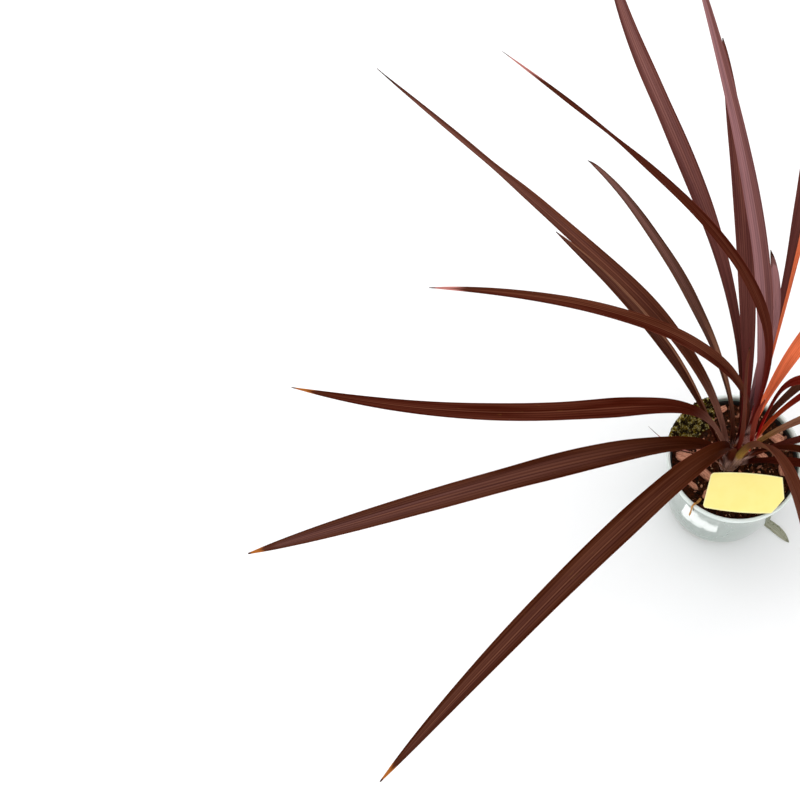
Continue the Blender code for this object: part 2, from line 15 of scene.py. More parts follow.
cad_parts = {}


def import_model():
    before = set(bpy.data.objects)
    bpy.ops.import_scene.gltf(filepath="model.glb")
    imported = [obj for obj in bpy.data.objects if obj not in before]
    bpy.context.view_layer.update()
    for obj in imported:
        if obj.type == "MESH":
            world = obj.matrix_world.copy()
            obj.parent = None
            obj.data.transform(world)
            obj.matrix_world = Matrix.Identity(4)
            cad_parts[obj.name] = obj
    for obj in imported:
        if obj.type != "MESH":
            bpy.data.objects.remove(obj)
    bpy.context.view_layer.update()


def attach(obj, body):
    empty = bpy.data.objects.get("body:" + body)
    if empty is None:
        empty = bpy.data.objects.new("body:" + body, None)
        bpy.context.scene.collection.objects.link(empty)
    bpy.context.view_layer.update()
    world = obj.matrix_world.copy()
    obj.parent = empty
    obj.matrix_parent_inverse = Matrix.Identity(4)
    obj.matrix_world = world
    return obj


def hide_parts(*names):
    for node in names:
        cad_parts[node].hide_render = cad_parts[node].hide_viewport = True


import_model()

bl_info = {
    "name": "Potted cordyline",
    "version": (1, 0, 0),
    "blender": (4, 5, 0),
    "location": "View3D > Sidebar > Cordyline",
    "description": "Dresses the solids of a potted cordyline with finer pieces and finishes",
    "category": "Add Mesh",
}

MM = 0.001
GAP = 0.3
SECTORS = 160                 # flats round the pot and the soil
NOTES = "notes"               # attribute that tells the shaders where a point is on its piece

# Pot
POT_HEIGHT = 116.0
RIM_RADIUS = 68.0
FOOT_RADIUS = 47.0
FOOT_RING = 5.0
FOOT_RECESS = 1.6
WALL = 4.0
FLOOR_THICKNESS = 7.0
FLOOR_RADIUS = 48.0
LIP_STEPS = 16
WOBBLE = 0.12                 # how far the thrown wall is out of round
POT_SIDE = [(51.0, 3.0), (54.0, 9.0), (56.8, 20.0), (59.8, 42.0), (62.2, 66.0), (64.8, 90.0), (67.2, 108.0)]

# Soil and what stands in it
SOIL_LEVEL = 104.0
SOIL_SIDE_LEVELS = (98.0, 66.0, 42.0, 20.0)
SOIL_RINGS = 60
CRUMB_SIZES = (0.5, 0.7, 0.7, 1.0, 1.0, 1.5, 2.1)
CRUMB_SEED = 21
CRUMB_CLEARANCE = 10.0        # room that the crumbs leave round the pot's axis
TRUNK_FOOT = (-5.5, -2.8)
TRUNK_BOTTOM = 40.0
TRUNK_RADIUS = 9.0
TRUNK_CROWN = 116.0
TRUNK_TOP = 160.0
TRUNK_TIP = 165.0
TRUNK_NARROWING = 0.20
TRUNK_SECTORS = 72
SCAR_SPACING = 2.5
SCARS_FROM = 98.0             # height where the trunk's rings begin
CROWN_SHIFT = (12.0, 3.0)
LEAN_TOP = 160.0
OLD_BASES = 26                # bases of old leaves on the trunk
OLD_BASES_FROM = 107.0
OLD_BASES_RISE = 41.0
OLD_BASES_SEED = 5
LEAF_TURN = 137.5             # degrees from one leaf to the next round the trunk
LINER_THICKNESS = 1.3         # black inner pot that holds the soil
LINER_TOP = 109.5
LINER_DEPTH = 12.0
LINER_SECTORS = 120

# Plant label
LABEL_WIDTH = 81.0
LABEL_TOP_WIDTH = 69.5
LABEL_HEIGHT = 34.5
LABEL_BULGE = 2.5
LABEL_CORNER = 14.0
LABEL_SMALL_CORNER = 2.0
LABEL_THICKNESS = 0.9
LABEL_TILT = 30.0
LABEL_TURN = -4.0
LABEL_CENTRE = (5.9, -40.8, 127.0)
LABEL_BOW = 2.0
STAKE_WIDTH = 9.0
STAKE_THICKNESS = 1.4
STAKE_BOTTOM = 62.0
STAKE_POINT = 12.0
STAKE_LEVELS = (STAKE_BOTTOM, 66.0, STAKE_BOTTOM + STAKE_POINT, 95.0, 110.0)
STAKE_SECTION = [(-1, -0.6), (-0.85, -1), (-0.25, -1), (-0.15, -0.65), (0.15, -0.65), (0.25, -1), (0.85, -1),
                 (1, -0.6), (1, 0.6), (0.85, 1), (-0.85, 1), (-1, 0.6)]

# Moss patch
MOSS_CENTRE = (-36.5, 40.0)
MOSS_LENGTH = 28.0
MOSS_BREADTH = 13.5
MOSS_ANGLE = 44.0
MOSS_HEIGHT = 7.0
MOSS_MOUNDS = 40
MOSS_SEED = 11
MOSS_RINGS = 24
MOSS_SECTORS = 96
DRAPE_AZIMUTHS = (107.0, 163.0)     # where the moss creeps over the lip
DRAPE_REACH = (59.5, 68.6)
DRAPE_THICKNESS = 0.45

# Bark chips: x, y, length, breadth and turn in degrees
CHIPS = [(-46, 2, 25, 11, -20), (-51, -15, 15, 8, 75), (-27, -16, 20, 10, -42), (-29, -36, 12, 7, 60),
         (-29, 12, 16, 9, 12), (-15, -31, 14, 8, -15), (23, 24, 18, 10, 40), (44, 24, 19, 11, -30),
         (-8, 54, 12, 7, 30), (48, -9, 15, 9, 80), (29, 4, 14, 9, -50), (-42, -26, 13, 6, -42)]
CHIP_THICKNESS = 4.0
CHIP_CORNERS = 9
CHIP_SEED = 100
CHIP_STEPS = 7                # points from one corner to the next
# Layers of a chip from its underside to its top: how wide and how high each is, as shares
CHIP_LAYERS = [(0.4, 0.0), (0.96, 0.0), (1.03, 0.2), (1.0, 0.4), (1.04, 0.55), (0.98, 0.75), (0.9, 0.92),
               (0.78, 1.0), (0.6, 1.04), (0.4, 1.02), (0.2, 1.05)]

# Blade profile: shares of the full width and of the length
NECK_WIDTH = 0.36
WIDEST_AT = 0.55
FULL_WIDTH = 1.04
TAPER_POWER = 6.0
TAPER_ROUNDING = 0.75
TIP_WIDTH = 0.05
ROOT_FOLD = 14.0
NECK_FOLD = 40.0
BLADE_FOLD = 12.0
NECK_END = 0.08
FLAT_FROM = 0.58

# Leaves
LEAF_THICKNESS = 0.9
LEAF_SEGMENTS = 104
LEAF_COLUMNS = 40
LEAF_RIBS = 8                 # raised ribs across a blade
RIB_HEIGHT = 0.10
CROWN = (6.5, -0.8)
LEAVES = [
    # name, root azimuth and height, rise, bend, tip, width, roll at the tip in degrees
    ("left_low", 193, 109, (-181.5, 31.5, 258), (-170, 250.5, 163), (-170, 497, 75), 25, -5),
    ("front_left", -136, 114, (-138.5, 5, 316), (-145, 204, 189), (-138.5, 477, 89), 26, 15),
    ("left_upper", 163, 124, (158.5, 76, 327), (188, 137, 173), (172, 450, 148), 19, 5),
    ("back_left_lower", 156, 115, (145, 66.5, 204.5), (152.5, 110, 319), (144.5, 240.5, 335), 14, 0),
    ("back_left_long", 128, 119, (122.5, 91, 270), (142, 212, 312), (139, 477, 335), 21, 55),
    ("back_left_short", 141.5, 128, (132.5, 22, 298.5), (130.5, 205, 393.5), (132, 253, 381), 14, 20),
    ("back_upright_left", 66, 129, (95, 127, 351.5), (118.5, 251.5, 406), (114, 386, 478), 17, 40),
    ("back_broad", 111.5, 136.5, (109, 16.5, 256.5), (104.5, 147.5, 425.5), (104, 252, 496), 18, 0),
    ("left_arching", 155, 149, (52.5, 26.5, 242.5), (157.5, 81.5, 432), (162.5, 327, 302), 13, -5),
    ("back_folded", 56.5, 158.5, (89, 50.5, 248), (99.5, 11, 449), (107.5, 319, 555), 17, 0),
    ("back_left_thin", 97.5, 157, (90, 18.5, 379.5), (95.5, 18, 499.5), (138.5, 336, 510), 10, -15),
    ("inner_tip", 92.5, 150.5, (99, 43, 241.5), (76.5, 60.5, 319.5), (92.5, 111, 356), 12, 0),
    ("back_right_bright", 58.5, 145.5, (78, 179.5, 446), (87, 166, 448), (78.5, 232, 478), 19, 0),
    ("right_orange", 50.5, 141.5, (72, 64, 188), (55.5, 80.5, 343), (48, 190, 355), 15, 0),
    ("right_red_arch", -1, 146, (62.5, 81.5, 253), (13.5, 12.5, 293), (6, 250, 150), 11, 0),
    ("right_olive", 48.5, 136, (56.5, 67, 201), (38, 216, 248.5), (28, 375, 195), 15, 0),
    ("right_dark_red", -5, 128, (59, 50, 224), (28, 205, 236.5), (17, 380, 140), 17, 0),
    ("right_tan", 31, 123, (24.5, 73.5, 215), (15, 204, 216), (5, 385, 100), 16, 0),
    ("right_pink", -4, 120, (5.5, 82, 208), (6, 213, 202), (-6, 400, 70), 18, 0),
    ("right_low", -15, 113, (-11.5, 52, 171), (-16.5, 208, 170), (-18, 390, 40), 18, 0),
    ("front_right", -102, 124.5, (-77, 7.5, 308.5), (-57.5, 107.5, 221), (-77, 318, 59), 25, 0),
    ("inner_red", -75, 154, (-89.5, 9, 189), (43.5, -18.5, 244), (75, 12, 245), 6, 0),
    ("inner_front", -176.5, 140.5, (-111, 33.5, 227.5), (166, 32.5, 314.5), (137.5, 35, 338.5), 15, 0),
    ("left_small", 237, 109, (191, 50, 189), (182, 50, 96), (164, 97, 134), 5, 0),
    ("right_front", -53, 134.5, (-17, 38.5, 257.5), (-33.5, 190.5, 272.5), (-36, 400, 150), 22, 0),
]

# How each leaf is coloured: the record's slot, its body colour, the tint at its root and at its tip,
# the share of its length that has dried, and how far its edges wave in millimetres
LEAF_LOOKS = {
    "left_low": ("leaf_bronze", "bronze", "dark", "straw", 0.020, 0.7),
    "front_left": ("leaf_bronze", "bronze", "dark", "straw", 0.022, 0.8),
    "left_upper": ("leaf_burgundy", "burgundy", "clay", "straw", 0.022, 0.6),
    "back_left_lower": ("leaf_olive", "bronze", "dark", "charred", 0.006, 0.5),
    "back_left_long": ("leaf_bronze", "umber", "clay", "charred", 0.030, 1.8),
    "back_left_short": ("leaf_olive", "olive", "dark", "charred", 0.030, 1.6),
    "back_upright_left": ("leaf_plum", "plum", "dark", "straw", 0.010, 0.6),
    "back_broad": ("leaf_plum", "plum", "wine", "charred", 0.006, 0.5),
    "left_arching": ("leaf_burgundy", "burgundy", "dark", "rosy", 0.040, 1.0),
    # Its pink body colour is a painted highlight: the sheen on the folded leaf.
    "back_folded": ("leaf_plum", "pink", "wine", "straw", 0.010, 0.6),
    "back_left_thin": ("leaf_burgundy", "burgundy", "wine", "rosy", 0.040, 0.9),
    "inner_tip": ("leaf_burgundy", "pink", "dark", "charred", 0.040, 0.4),
    "back_right_bright": ("leaf_plum", "plum", "red", "rosy", 0.020, 0.5),
    "right_orange": ("leaf_salmon", "orange", "red", "rosy", 0.030, 0.4),
    "right_red_arch": ("leaf_burgundy", "crimson", "red", "rosy", 0.050, 0.4),
    "right_olive": ("leaf_olive", "olive", "dark", "straw", 0.040, 0.5),
    "right_dark_red": ("leaf_burgundy", "crimson", "orange", "straw", 0.040, 0.5),
    "right_tan": ("leaf_olive", "fawn", "ochre", "straw", 0.050, 0.5),
    "right_pink": ("leaf_burgundy", "rose", "dark", "rosy", 0.040, 0.5),
    "right_low": ("leaf_burgundy", "burgundy", "dark", "straw", 0.040, 0.6),
    "front_right": ("leaf_bronze", "umber", "ochre", "straw", 0.050, 0.6),
    "inner_red": ("leaf_salmon", "crimson", "scarlet", "rosy", 0.020, 0.3),
    "inner_front": ("leaf_bronze", "burgundy", "wine", "charred", 0.030, 0.3),
    "left_small": ("dry_leaf", "fawn", "clay", "rosy", 0.400, 0.3),
    "right_front": ("leaf_bronze", "bronze", "dark", "straw", 0.040, 0.6),
}

# Leaves with a second colour: where across the blade it begins (from 1 at the left margin to -1 at the
# right one), that colour, and the share of the length that it reaches
SIDE_TINTS = {
    "back_left_lower": (-0.45, "fawn", 1.0),
    "back_left_short": (0.0, "fawn", 0.30),
    "back_folded": (0.10, "plum", 1.0),
    "back_right_bright": (-0.10, "orange", 1.0),
    "left_arching": (0.2, "umber", 1.0),
}

# Painted sheen: a pinkish highlight laid on the middle of a leaf's outer part
PAINTED_SHEENS = {"left_low": 0.24, "front_left": 0.10, "back_upright_left": 0.45, "back_left_short": 0.45,
          "back_left_long": 0.20, "back_left_lower": 0.12, "inner_tip": 0.30, "right_front": 0.30}

# Places where a blade twists and looks pinched: share of the length, depth and span
PINCHES = {"back_left_long": (0.80, 0.35, 0.05), "back_left_thin": (0.86, 0.45, 0.04)}

# Dry blade and withered leaf tip
DRY_AZIMUTH = -131.0
DRY_WIDTH = 2.4
DRY_THICKNESS = 1.0
DRY_START = 53.0
DRY_OUTSIDE = 26.0
DRY_SLACK = 0.04
WITHERED_START = (-30.5, 49.7)
WITHERED_END = (-35.9, 87.0)
WITHERED_WIDTH = 12.0
WITHERED_THICKNESS = 0.65
WITHERED_BOW = 2.0
WITHERED_RIDGE = 0.5

# Stage, in metres and degrees
FLOOR_REACH = 6.0
KEY_PLACE = (-1.3, 0.9, 2.3)
KEY_SIZE = (1.6, 1.6)
FILL_PLACE = (1.5, -1.2, 2.2)
FILL_SIZE = (1.8, 1.8)
FILL_SHARE = 0.45
LIGHT_TARGET = (0.0, 0.0, 0.15)
SKY_COLOUR = (0.98, 0.99, 1.0, 1.0)
CAMERA_PLACE = (-0.3320, -0.6899, 1.9750)
CAMERA_TILT = 22.0
SENSOR_WIDTH = 36.0           # millimetres
VIEW_END = 50.0

# Panes of light that the glaze mirrors, low beside the pot, which light no matt surface. Their reach and
# height are in millimetres, the two sides of a pane in metres.
WINDOW_AZIMUTHS = (-141.0, -124.5, -108.0)
WINDOW_REACH = 72.0
WINDOW_HEIGHT = 4.0
WINDOW_PANE = (0.0212, 0.0062)


def tint(red, green, blue):
    """A colour given as it looks on a screen, 0 to 255, as the linear values that shaders take."""
    shares = (red / 255, green / 255, blue / 255)
    return tuple(c / 12.92 if c <= 0.04045 else ((c + 0.055) / 1.055) ** 2.4 for c in shares)


VEIN_TINT = tint(216, 152, 120)
SHADE_TINT = tint(22, 4, 0)
# Colour of the painted pinkish sheen on the leaves
PAINTED_SHEEN_TINT = tint(162, 116, 112)
# Tints at the leaves' roots, and the share of the length that each reaches
ROOT_TINTS = {"dark": (tint(60, 18, 8), 0.30), "clay": (tint(146, 100, 84), 0.28),
              "ochre": (tint(146, 112, 50), 0.20), "red": (tint(176, 18, 20), 0.20),
              "scarlet": (tint(188, 26, 14), 0.50), "wine": (tint(92, 14, 10), 0.45),
              "orange": (tint(196, 84, 40), 0.30)}
TIP_TINTS = {"straw": tint(158, 92, 38), "charred": tint(54, 32, 24), "rosy": tint(176, 112, 104)}


def colour_property(name, description, default):
    return FloatVectorProperty(name=name, description=description, default=default, subtype="COLOR",
                               min=0.0, max=1.0)


def share_property(name, description, default):
    return FloatProperty(name=name, description=description, default=default, subtype="FACTOR",
                         min=0.0, max=1.0)


def count_property(name, description, default, most):
    return IntProperty(name=name, description=description, default=default, min=0, max=most)


def power_property(name, description, default):
    return FloatProperty(name=name, description=description, default=default, subtype="POWER", unit="POWER",
                         min=0.0)


class PotLooks(bpy.types.PropertyGroup):
    glaze: colour_property("Glaze", "Colour of the pot's glaze", tint(128, 144, 134))
    # Painted highlight: this pale colour stands for the light that catches the rolled lip.
    lip: colour_property("Lip", "Glaze where it runs thin over the lip", tint(226, 234, 229))
    foot: colour_property("Foot", "Bare clay of the foot ring", tint(196, 178, 156))
    gloss: share_property("Roughness", "Roughness of the glaze", 0.05)


class GroundLooks(bpy.types.PropertyGroup):
    soil: colour_property("Soil", "Damp potting soil", tint(70, 28, 8))
    fibre: colour_property("Fibre", "Dry fibre in the soil", tint(112, 78, 52))
    bark: colour_property("Bark", "Weathered face of the bark chips", tint(210, 148, 120))
    bark_core: colour_property("Bark core", "Broken sides of the bark chips", tint(104, 56, 38))
    moss: colour_property("Moss", "Fresh tips of the moss", tint(150, 126, 22))
    # Painted shade: the dark colour low among the moss shoots and over the cushion.
    moss_shade: colour_property("Moss shade", "Older moss below the tips", tint(34, 26, 8))
    crumbs: count_property("Crumbs", "How many crumbs lie on the soil", 1500, 4000)
    tufts: count_property("Moss shoots", "How many shoots stand on the moss", 6500, 20000)
    drape_tufts: count_property("Shoots on the lip", "How many shoots stand on the pot's lip", 1800, 6000)


class PlantLooks(bpy.types.PropertyGroup):
    bronze: colour_property("Bronze", "Dark brown outer leaves", tint(60, 20, 2))
    umber: colour_property("Umber", "Paler brown leaves", tint(84, 40, 24))
    burgundy: colour_property("Burgundy", "Dark red-brown leaves", tint(66, 16, 4))
    crimson: colour_property("Crimson", "Deep red young leaves", tint(104, 18, 8))
    rose: colour_property("Rose", "Leaves with a pink cast", tint(94, 44, 36))
    olive: colour_property("Olive", "Brown-green leaves", tint(70, 40, 28))
    fawn: colour_property("Fawn", "Pale tan undersides", tint(138, 94, 72))
    plum: colour_property("Plum", "Upright leaves with a purple sheen", tint(92, 48, 44))
    # Painted highlight: this pale pink stands for the sheen on the upright leaves.
    pink: colour_property("Pink", "Palest upright leaf", tint(146, 102, 104))
    orange: colour_property("Orange", "Leaves that let the light through", tint(255, 128, 82))
    bark: colour_property("Trunk", "Bark of the trunk", tint(196, 156, 144))
    veins: share_property("Veins", "How strongly the veins show", 0.75)


class LabelLooks(bpy.types.PropertyGroup):
    card: colour_property("Card", "Colour of the bare label", tint(254, 238, 146))
    edge: colour_property("Edge", "Worn edge of the label", tint(253, 246, 200))


class StageLooks(bpy.types.PropertyGroup):
    floor: colour_property("Floor", "Colour of the floor", (0.90, 0.90, 0.90))
    sky: FloatProperty(name="Room light", description="Strength of the even light", default=1.24, min=0.0)
    key: power_property("Key light", "Power of the large soft light", 13.0)
    window: power_property("Window", "Power of the low light seen in the glaze", 0.00055)
    lens: FloatProperty(name="Lens", description="Focal length in millimetres", default=90.0, min=1.0)


class Signal:
    """A shader socket that Python's operators work on: each expression adds its Math node."""

    def __init__(self, finish, socket):
        self.finish = finish
        self.socket = socket

    def __add__(self, other):
        return self.finish.math("ADD", self, other)

    __radd__ = __add__

    def __sub__(self, other):
        return self.finish.math("SUBTRACT", self, other)

    def __rsub__(self, other):
        return self.finish.math("SUBTRACT", other, self)

    def __mul__(self, other):
        return self.finish.math("MULTIPLY", self, other)

    __rmul__ = __mul__

    def __abs__(self):
        return self.finish.math("ABSOLUTE", self, 0.0)


class Finish:
    """One material: a Principled shader and the nodes that vary its colour, roughness and relief."""

    def __init__(self, name, colour, **fixed):
        self.material = bpy.data.materials.new(name)
        self.material.use_nodes = True
        self.tree = self.material.node_tree
        self.shader = self.tree.nodes["Principled BSDF"]
        self.colour = colour
        for socket, value in fixed.items():
            self.shader.inputs[socket.replace("_", " ")].default_value = value

    def node(self, kind, settings=None, sockets=None, out=0):
        """Add a node: its settings first, then the values or links of its sockets."""
        made = self.tree.nodes.new(kind)
        for key, value in (settings or {}).items():
            if key == "stops":
                self.set_stops(made.color_ramp, value)
            else:
                setattr(made, key, value)
        for key, value in (sockets or {}).items():
            if isinstance(value, Signal):
                self.tree.links.new(value.socket, made.inputs[key])
            else:
                made.inputs[key].default_value = value
        return Signal(self, made.outputs[out])

    @staticmethod
    def set_stops(ramp, stops):
        while len(ramp.elements) < len(stops):
            ramp.elements.new(0.5)
        for element, (position, colour) in zip(ramp.elements, stops):
            element.position = position
            element.color = (*colour, 1.0)

    def math(self, operation, a, b):
        return self.node("ShaderNodeMath", {"operation": operation}, {0: a, 1: b})

    def mix(self, factor, a, b):
        """Mix of two colours."""
        pair = [c if isinstance(c, Signal) else (*c, 1.0) for c in (a, b)]
        return self.node("ShaderNodeMix", {"data_type": "RGBA", "clamp_result": True},
                         {0: factor, 6: pair[0], 7: pair[1]}, 2)

    def step(self, value, low, high):
        """Smooth change from 0 at low to 1 at high."""
        return self.node("ShaderNodeMapRange", {"interpolation_type": "SMOOTHSTEP"},
                         {"Value": value, "From Min": low, "From Max": high})

    def cover(self, mask, colour):
        """Lay a colour over the finish where a mask is 1."""
        self.colour = self.mix(mask, self.colour, colour)

    def lay(self, colour, share, value, low, high):
        """Lay a share of a colour over the finish where a value passes from low to high."""
        self.cover(self.step(value, low, high) * share, colour)

    def place(self):
        """Position on the object in millimetres."""
        where = self.node("ShaderNodeTexCoord", out="Object")
        return self.node("ShaderNodeVectorMath", {"operation": "SCALE"}, {0: where, "Scale": 1 / MM})

    def notes(self):
        """The three numbers that add_piece() wrote on each point."""
        return self.split(self.node("ShaderNodeAttribute", {"attribute_name": NOTES}, out="Vector"))

    def split(self, vector):
        first = self.node("ShaderNodeSeparateXYZ", None, {0: vector})
        return [Signal(self, output) for output in first.socket.node.outputs]

    def join(self, x, y, z):
        return self.node("ShaderNodeCombineXYZ", None, {0: x, 1: y, 2: z})

    def noise(self, vector, scale, detail=2.0, roughness=0.5, distortion=0.0):
        return self.node("ShaderNodeTexNoise", None, {"Vector": vector, "Scale": scale, "Detail": detail,
                                                      "Roughness": roughness, "Distortion": distortion})

    def grain(self, x, y, z, *settings):
        """Noise in a space of its own, such as one that is drawn out along a piece."""
        return self.noise(self.join(x, y, z), 1.0, *settings)

    def bump(self, height, distance, strength, under=None):
        """Relief of a height that runs from 0 to 1 over a distance in millimetres."""
        sockets = {"Height": height, "Distance": distance * MM, "Strength": strength}
        if under is not None:
            sockets["Normal"] = under
        return self.node("ShaderNodeBump", None, sockets)

    def done(self, roughness, normal=None):
        """Link what varies to the shader and hand over the material."""
        for socket, value in (("Base Color", self.colour), ("Roughness", roughness), ("Normal", normal)):
            if value is not None:
                self.tree.links.new(value.socket, self.shader.inputs[socket])
        return self.material


def add_piece(name, verts, faces, mat, node=None, sharp=50.0, notes=None):
    """Make a piece from points in millimetres, which rides on the part and
    may stand for a solid. Without a sharp angle it is shaded flat."""
    mesh = bpy.data.meshes.new(name)
    mesh.from_pydata([Vector(v) * MM for v in verts], [], faces)
    if notes:
        layer = mesh.attributes.new(NOTES, "FLOAT_VECTOR", "POINT")
        layer.data.foreach_set("vector", [number for note in notes for number in note])
    bm = bmesh.new()
    bm.from_mesh(mesh)
    bmesh.ops.recalc_face_normals(bm, faces=bm.faces)
    bm.to_mesh(mesh)
    bm.free()
    obj = bpy.data.objects.new(name, mesh)
    bpy.context.scene.collection.objects.link(obj)
    mesh.materials.append(mat)
    if sharp:
        mesh.shade_smooth()
        mesh.set_sharp_from_angle(angle=math.radians(sharp))
    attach(obj, "root")
    if node:
        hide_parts(node)
    return obj


def ring_faces(rings, sectors, closed=False):
    """Quads between rings of points; in a closed band the last ring joins the first."""
    faces = []
    for ring in range(rings if closed else rings - 1):
        above = (ring + 1) % rings
        for k in range(sectors):
            nxt = (k + 1) % sectors
            faces.append((ring * sectors + k, ring * sectors + nxt,
                          above * sectors + nxt, above * sectors + k))
    return faces


def lathe_faces(verts, sectors):
    """Faces of a closed form: rings of points, then one point at each end, which closes it with a fan."""
    rings = (len(verts) - 2) // sectors
    faces = ring_faces(rings, sectors)
    first = rings * sectors
    for k in range(sectors):
        nxt = (k + 1) % sectors
        faces.append((first, nxt, k))
        faces.append((first + 1, first - sectors + k, first - sectors + nxt))
    return faces


def sheet_faces(rows, columns, base=0):
    """Faces of a thin closed sheet: an upper grid of points, then the lower one, joined all round."""
    wide = columns + 1
    under = (rows + 1) * wide
    faces = []
    for i in range(rows):
        for j in range(columns):
            a = base + i * wide + j
            faces.append((a, a + 1, a + wide + 1, a + wide))
            faces.append((under + a, under + a + wide, under + a + wide + 1, under + a + 1))
    sides = [(i * wide + j, wide) for i in range(rows) for j in (0, columns)]
    sides += [(i * wide + j, 1) for j in range(columns) for i in (0, rows)]
    for start, stride in sides:
        a = base + start
        faces.append((a, a + stride, under + a + stride, under + a))
    return faces


def sheet(rows, columns, line):
    """Points and notes of a thin closed sheet. For t from 0 to 1 along it, line(t) gives a function of s,
    from -1 to 1 across it, which returns the upper point, the lower point and the note."""
    spots = []
    for i in range(rows + 1):
        cross = line(i / rows)
        spots += [cross(-1 + 2 * j / columns) for j in range(columns + 1)]
    upper, lower, notes = zip(*spots)
    return [*upper, *lower], [*notes, *notes]


def circle(centre, radius, sectors=SECTORS):
    return [(centre[0] + radius * math.cos(math.tau * k / sectors),
             centre[1] + radius * math.sin(math.tau * k / sectors)) for k in range(sectors)]


def around(azimuth, reach, height):
    """Point at an azimuth in degrees and a reach from the pot's axis."""
    angle = math.radians(azimuth)
    return Vector((reach * math.cos(angle), reach * math.sin(angle), height))


def rough(x, y, z, scale=1.0):
    """Smooth noise from about -1 to 1."""
    return noise.noise(Vector((x, y, z)) * scale)


def smoothstep(value):
    value = min(1.0, max(0.0, value))
    return value * value * (3 - 2 * value)


def spline(points, steps):
    """Smooth line through points in the plane, with steps pieces between two of them."""
    padded = [points[0]] + list(points) + [points[-1]]
    line = []
    for p0, p1, p2, p3 in zip(padded, padded[1:], padded[2:], padded[3:]):
        for i in range(steps):
            t = i / steps
            line.append(tuple(0.5 * (2 * b + (c - a) * t + (2 * a - 5 * b + 4 * c - d) * t * t
                                     + (3 * b - a - 3 * c + d) * t ** 3)
                              for a, b, c, d in zip(p0, p1, p2, p3)))
    line.append(tuple(points[-1]))
    return line


def inner_side():
    """The pot's inner wall from under the lip down to the floor's edge."""
    side = [(r - WALL, z) for r, z in reversed(POT_SIDE) if z > 2 * FLOOR_THICKNESS]
    return side + [(FLOOR_RADIUS, FLOOR_THICKNESS)]


def inner_radius(height):
    """Radius of the pot's inner wall at a height."""
    side = [(RIM_RADIUS - WALL, POT_HEIGHT)] + inner_side()
    for (r1, z1), (r0, z0) in zip(side, side[1:]):
        if z0 <= height <= z1:
            return r0 + (r1 - r0) * (height - z0) / (z1 - z0)
    return side[-1][0]


def glaze_finish(looks):
    """Pale glaze with a painted highlight along the lip, slightly darker towards the foot, bare clay at the
    foot.
    """
    f = Finish("pale_glaze", looks.glaze, IOR=1.5, Coat_Weight=0.5, Coat_Roughness=0.015)
    where = f.place()
    height = f.split(where)[2]
    clouds = f.noise(where, 0.035, 3.0, 0.55)
    grain = f.noise(where, 0.9, 3.0, 0.6)
    ripple = f.noise(where, 0.11)
    f.lay(tint(134, 148, 139), 0.35, clouds, 0.35, 0.68)
    f.lay(tint(128, 140, 131), 0.22, grain, 0.60, 0.78)
    # Slightly darker towards the foot.
    f.lay(tint(122, 138, 130), 0.30, height, 62.0, 4.0)
    # Painted highlight along the lip.
    f.lay(looks.lip, 0.9, height + clouds * 5.0, 112.5, 117.5)
    clay = 1.0 - f.step(height + ripple * 1.5, 2.2, 3.2)
    f.cover(clay, looks.foot)
    return f.done(clay * 0.6 + (1.0 - clay) * (looks.gloss + grain * 0.03),
                  f.bump(ripple, 0.18, 0.3, f.bump(grain, 0.01, 0.3)))


def build_pot(looks):
    """Glazed pot with a rolled lip and a foot ring."""
    bead = WALL / 2
    lip = [(RIM_RADIUS - bead + bead * math.cos(math.pi * i / LIP_STEPS),
            POT_HEIGHT - bead + bead * math.sin(math.pi * i / LIP_STEPS)) for i in range(LIP_STEPS + 1)]
    inside = FOOT_RADIUS - FOOT_RING
    foot = [(inside - 1.5, FOOT_RECESS), (inside, 0.5), (inside + 0.6, 0.0), (FOOT_RADIUS - 0.4, 0.0),
            (FOOT_RADIUS + 1.6, 0.9)]
    verts = []
    for radius, height in foot + spline(POT_SIDE, 5) + lip + spline(inner_side(), 3):
        wobble = 0.0 if height < 3 else WOBBLE
        for k in range(SECTORS):
            throw = wobble * math.sin(3 * math.tau * k / SECTORS + height * 0.09) - wobble
            verts.append(around(360 * k / SECTORS, radius + throw, height))
    verts += [(0, 0, FOOT_RECESS), (0, 0, FLOOR_THICKNESS)]
    add_piece("pot_body", verts, lathe_faces(verts, SECTORS), glaze_finish(looks), "pot", 35)


def liner_finish():
    f = Finish("black_plastic", tint(20, 20, 20), IOR=1.45, Specular_IOR_Level=0.3)
    dust = f.noise(f.place(), 0.35, 4.0, 0.6)
    f.lay(tint(58, 46, 38), 0.5, dust, 0.45, 0.75)
    return f.done(0.38 + dust * 0.35, f.bump(dust, 0.15, 0.4))


def build_liner():
    """Rim of the thin black inner pot, which stands a little above the soil."""
    wall = [(inner_radius(h) - GAP, h) for h in (SOIL_LEVEL - LINER_DEPTH, SOIL_LEVEL, LINER_TOP - 1.2)]
    top = inner_radius(LINER_TOP) - GAP
    rim = [(top - 0.15, LINER_TOP - 0.2), (top - LINER_THICKNESS / 2, LINER_TOP),
           (top - LINER_THICKNESS + 0.15, LINER_TOP - 0.2)]
    profile = wall + rim + [(radius - LINER_THICKNESS, height) for radius, height in reversed(wall)]
    verts = [(x, y, height) for radius, height in profile for x, y in circle((0, 0), radius, LINER_SECTORS)]
    faces = ring_faces(len(profile), LINER_SECTORS, closed=True)
    add_piece("liner_rim", verts, faces, liner_finish(), sharp=60)


def ground(x, y):
    """Height of the soil's surface, uneven in slow swells."""
    swell = 0.9 * math.sin(0.13 * x + 1.3) * math.cos(0.11 * y)
    ripple = 0.5 * math.sin(0.21 * x - 0.17 * y + 0.6)
    return SOIL_LEVEL + swell + ripple


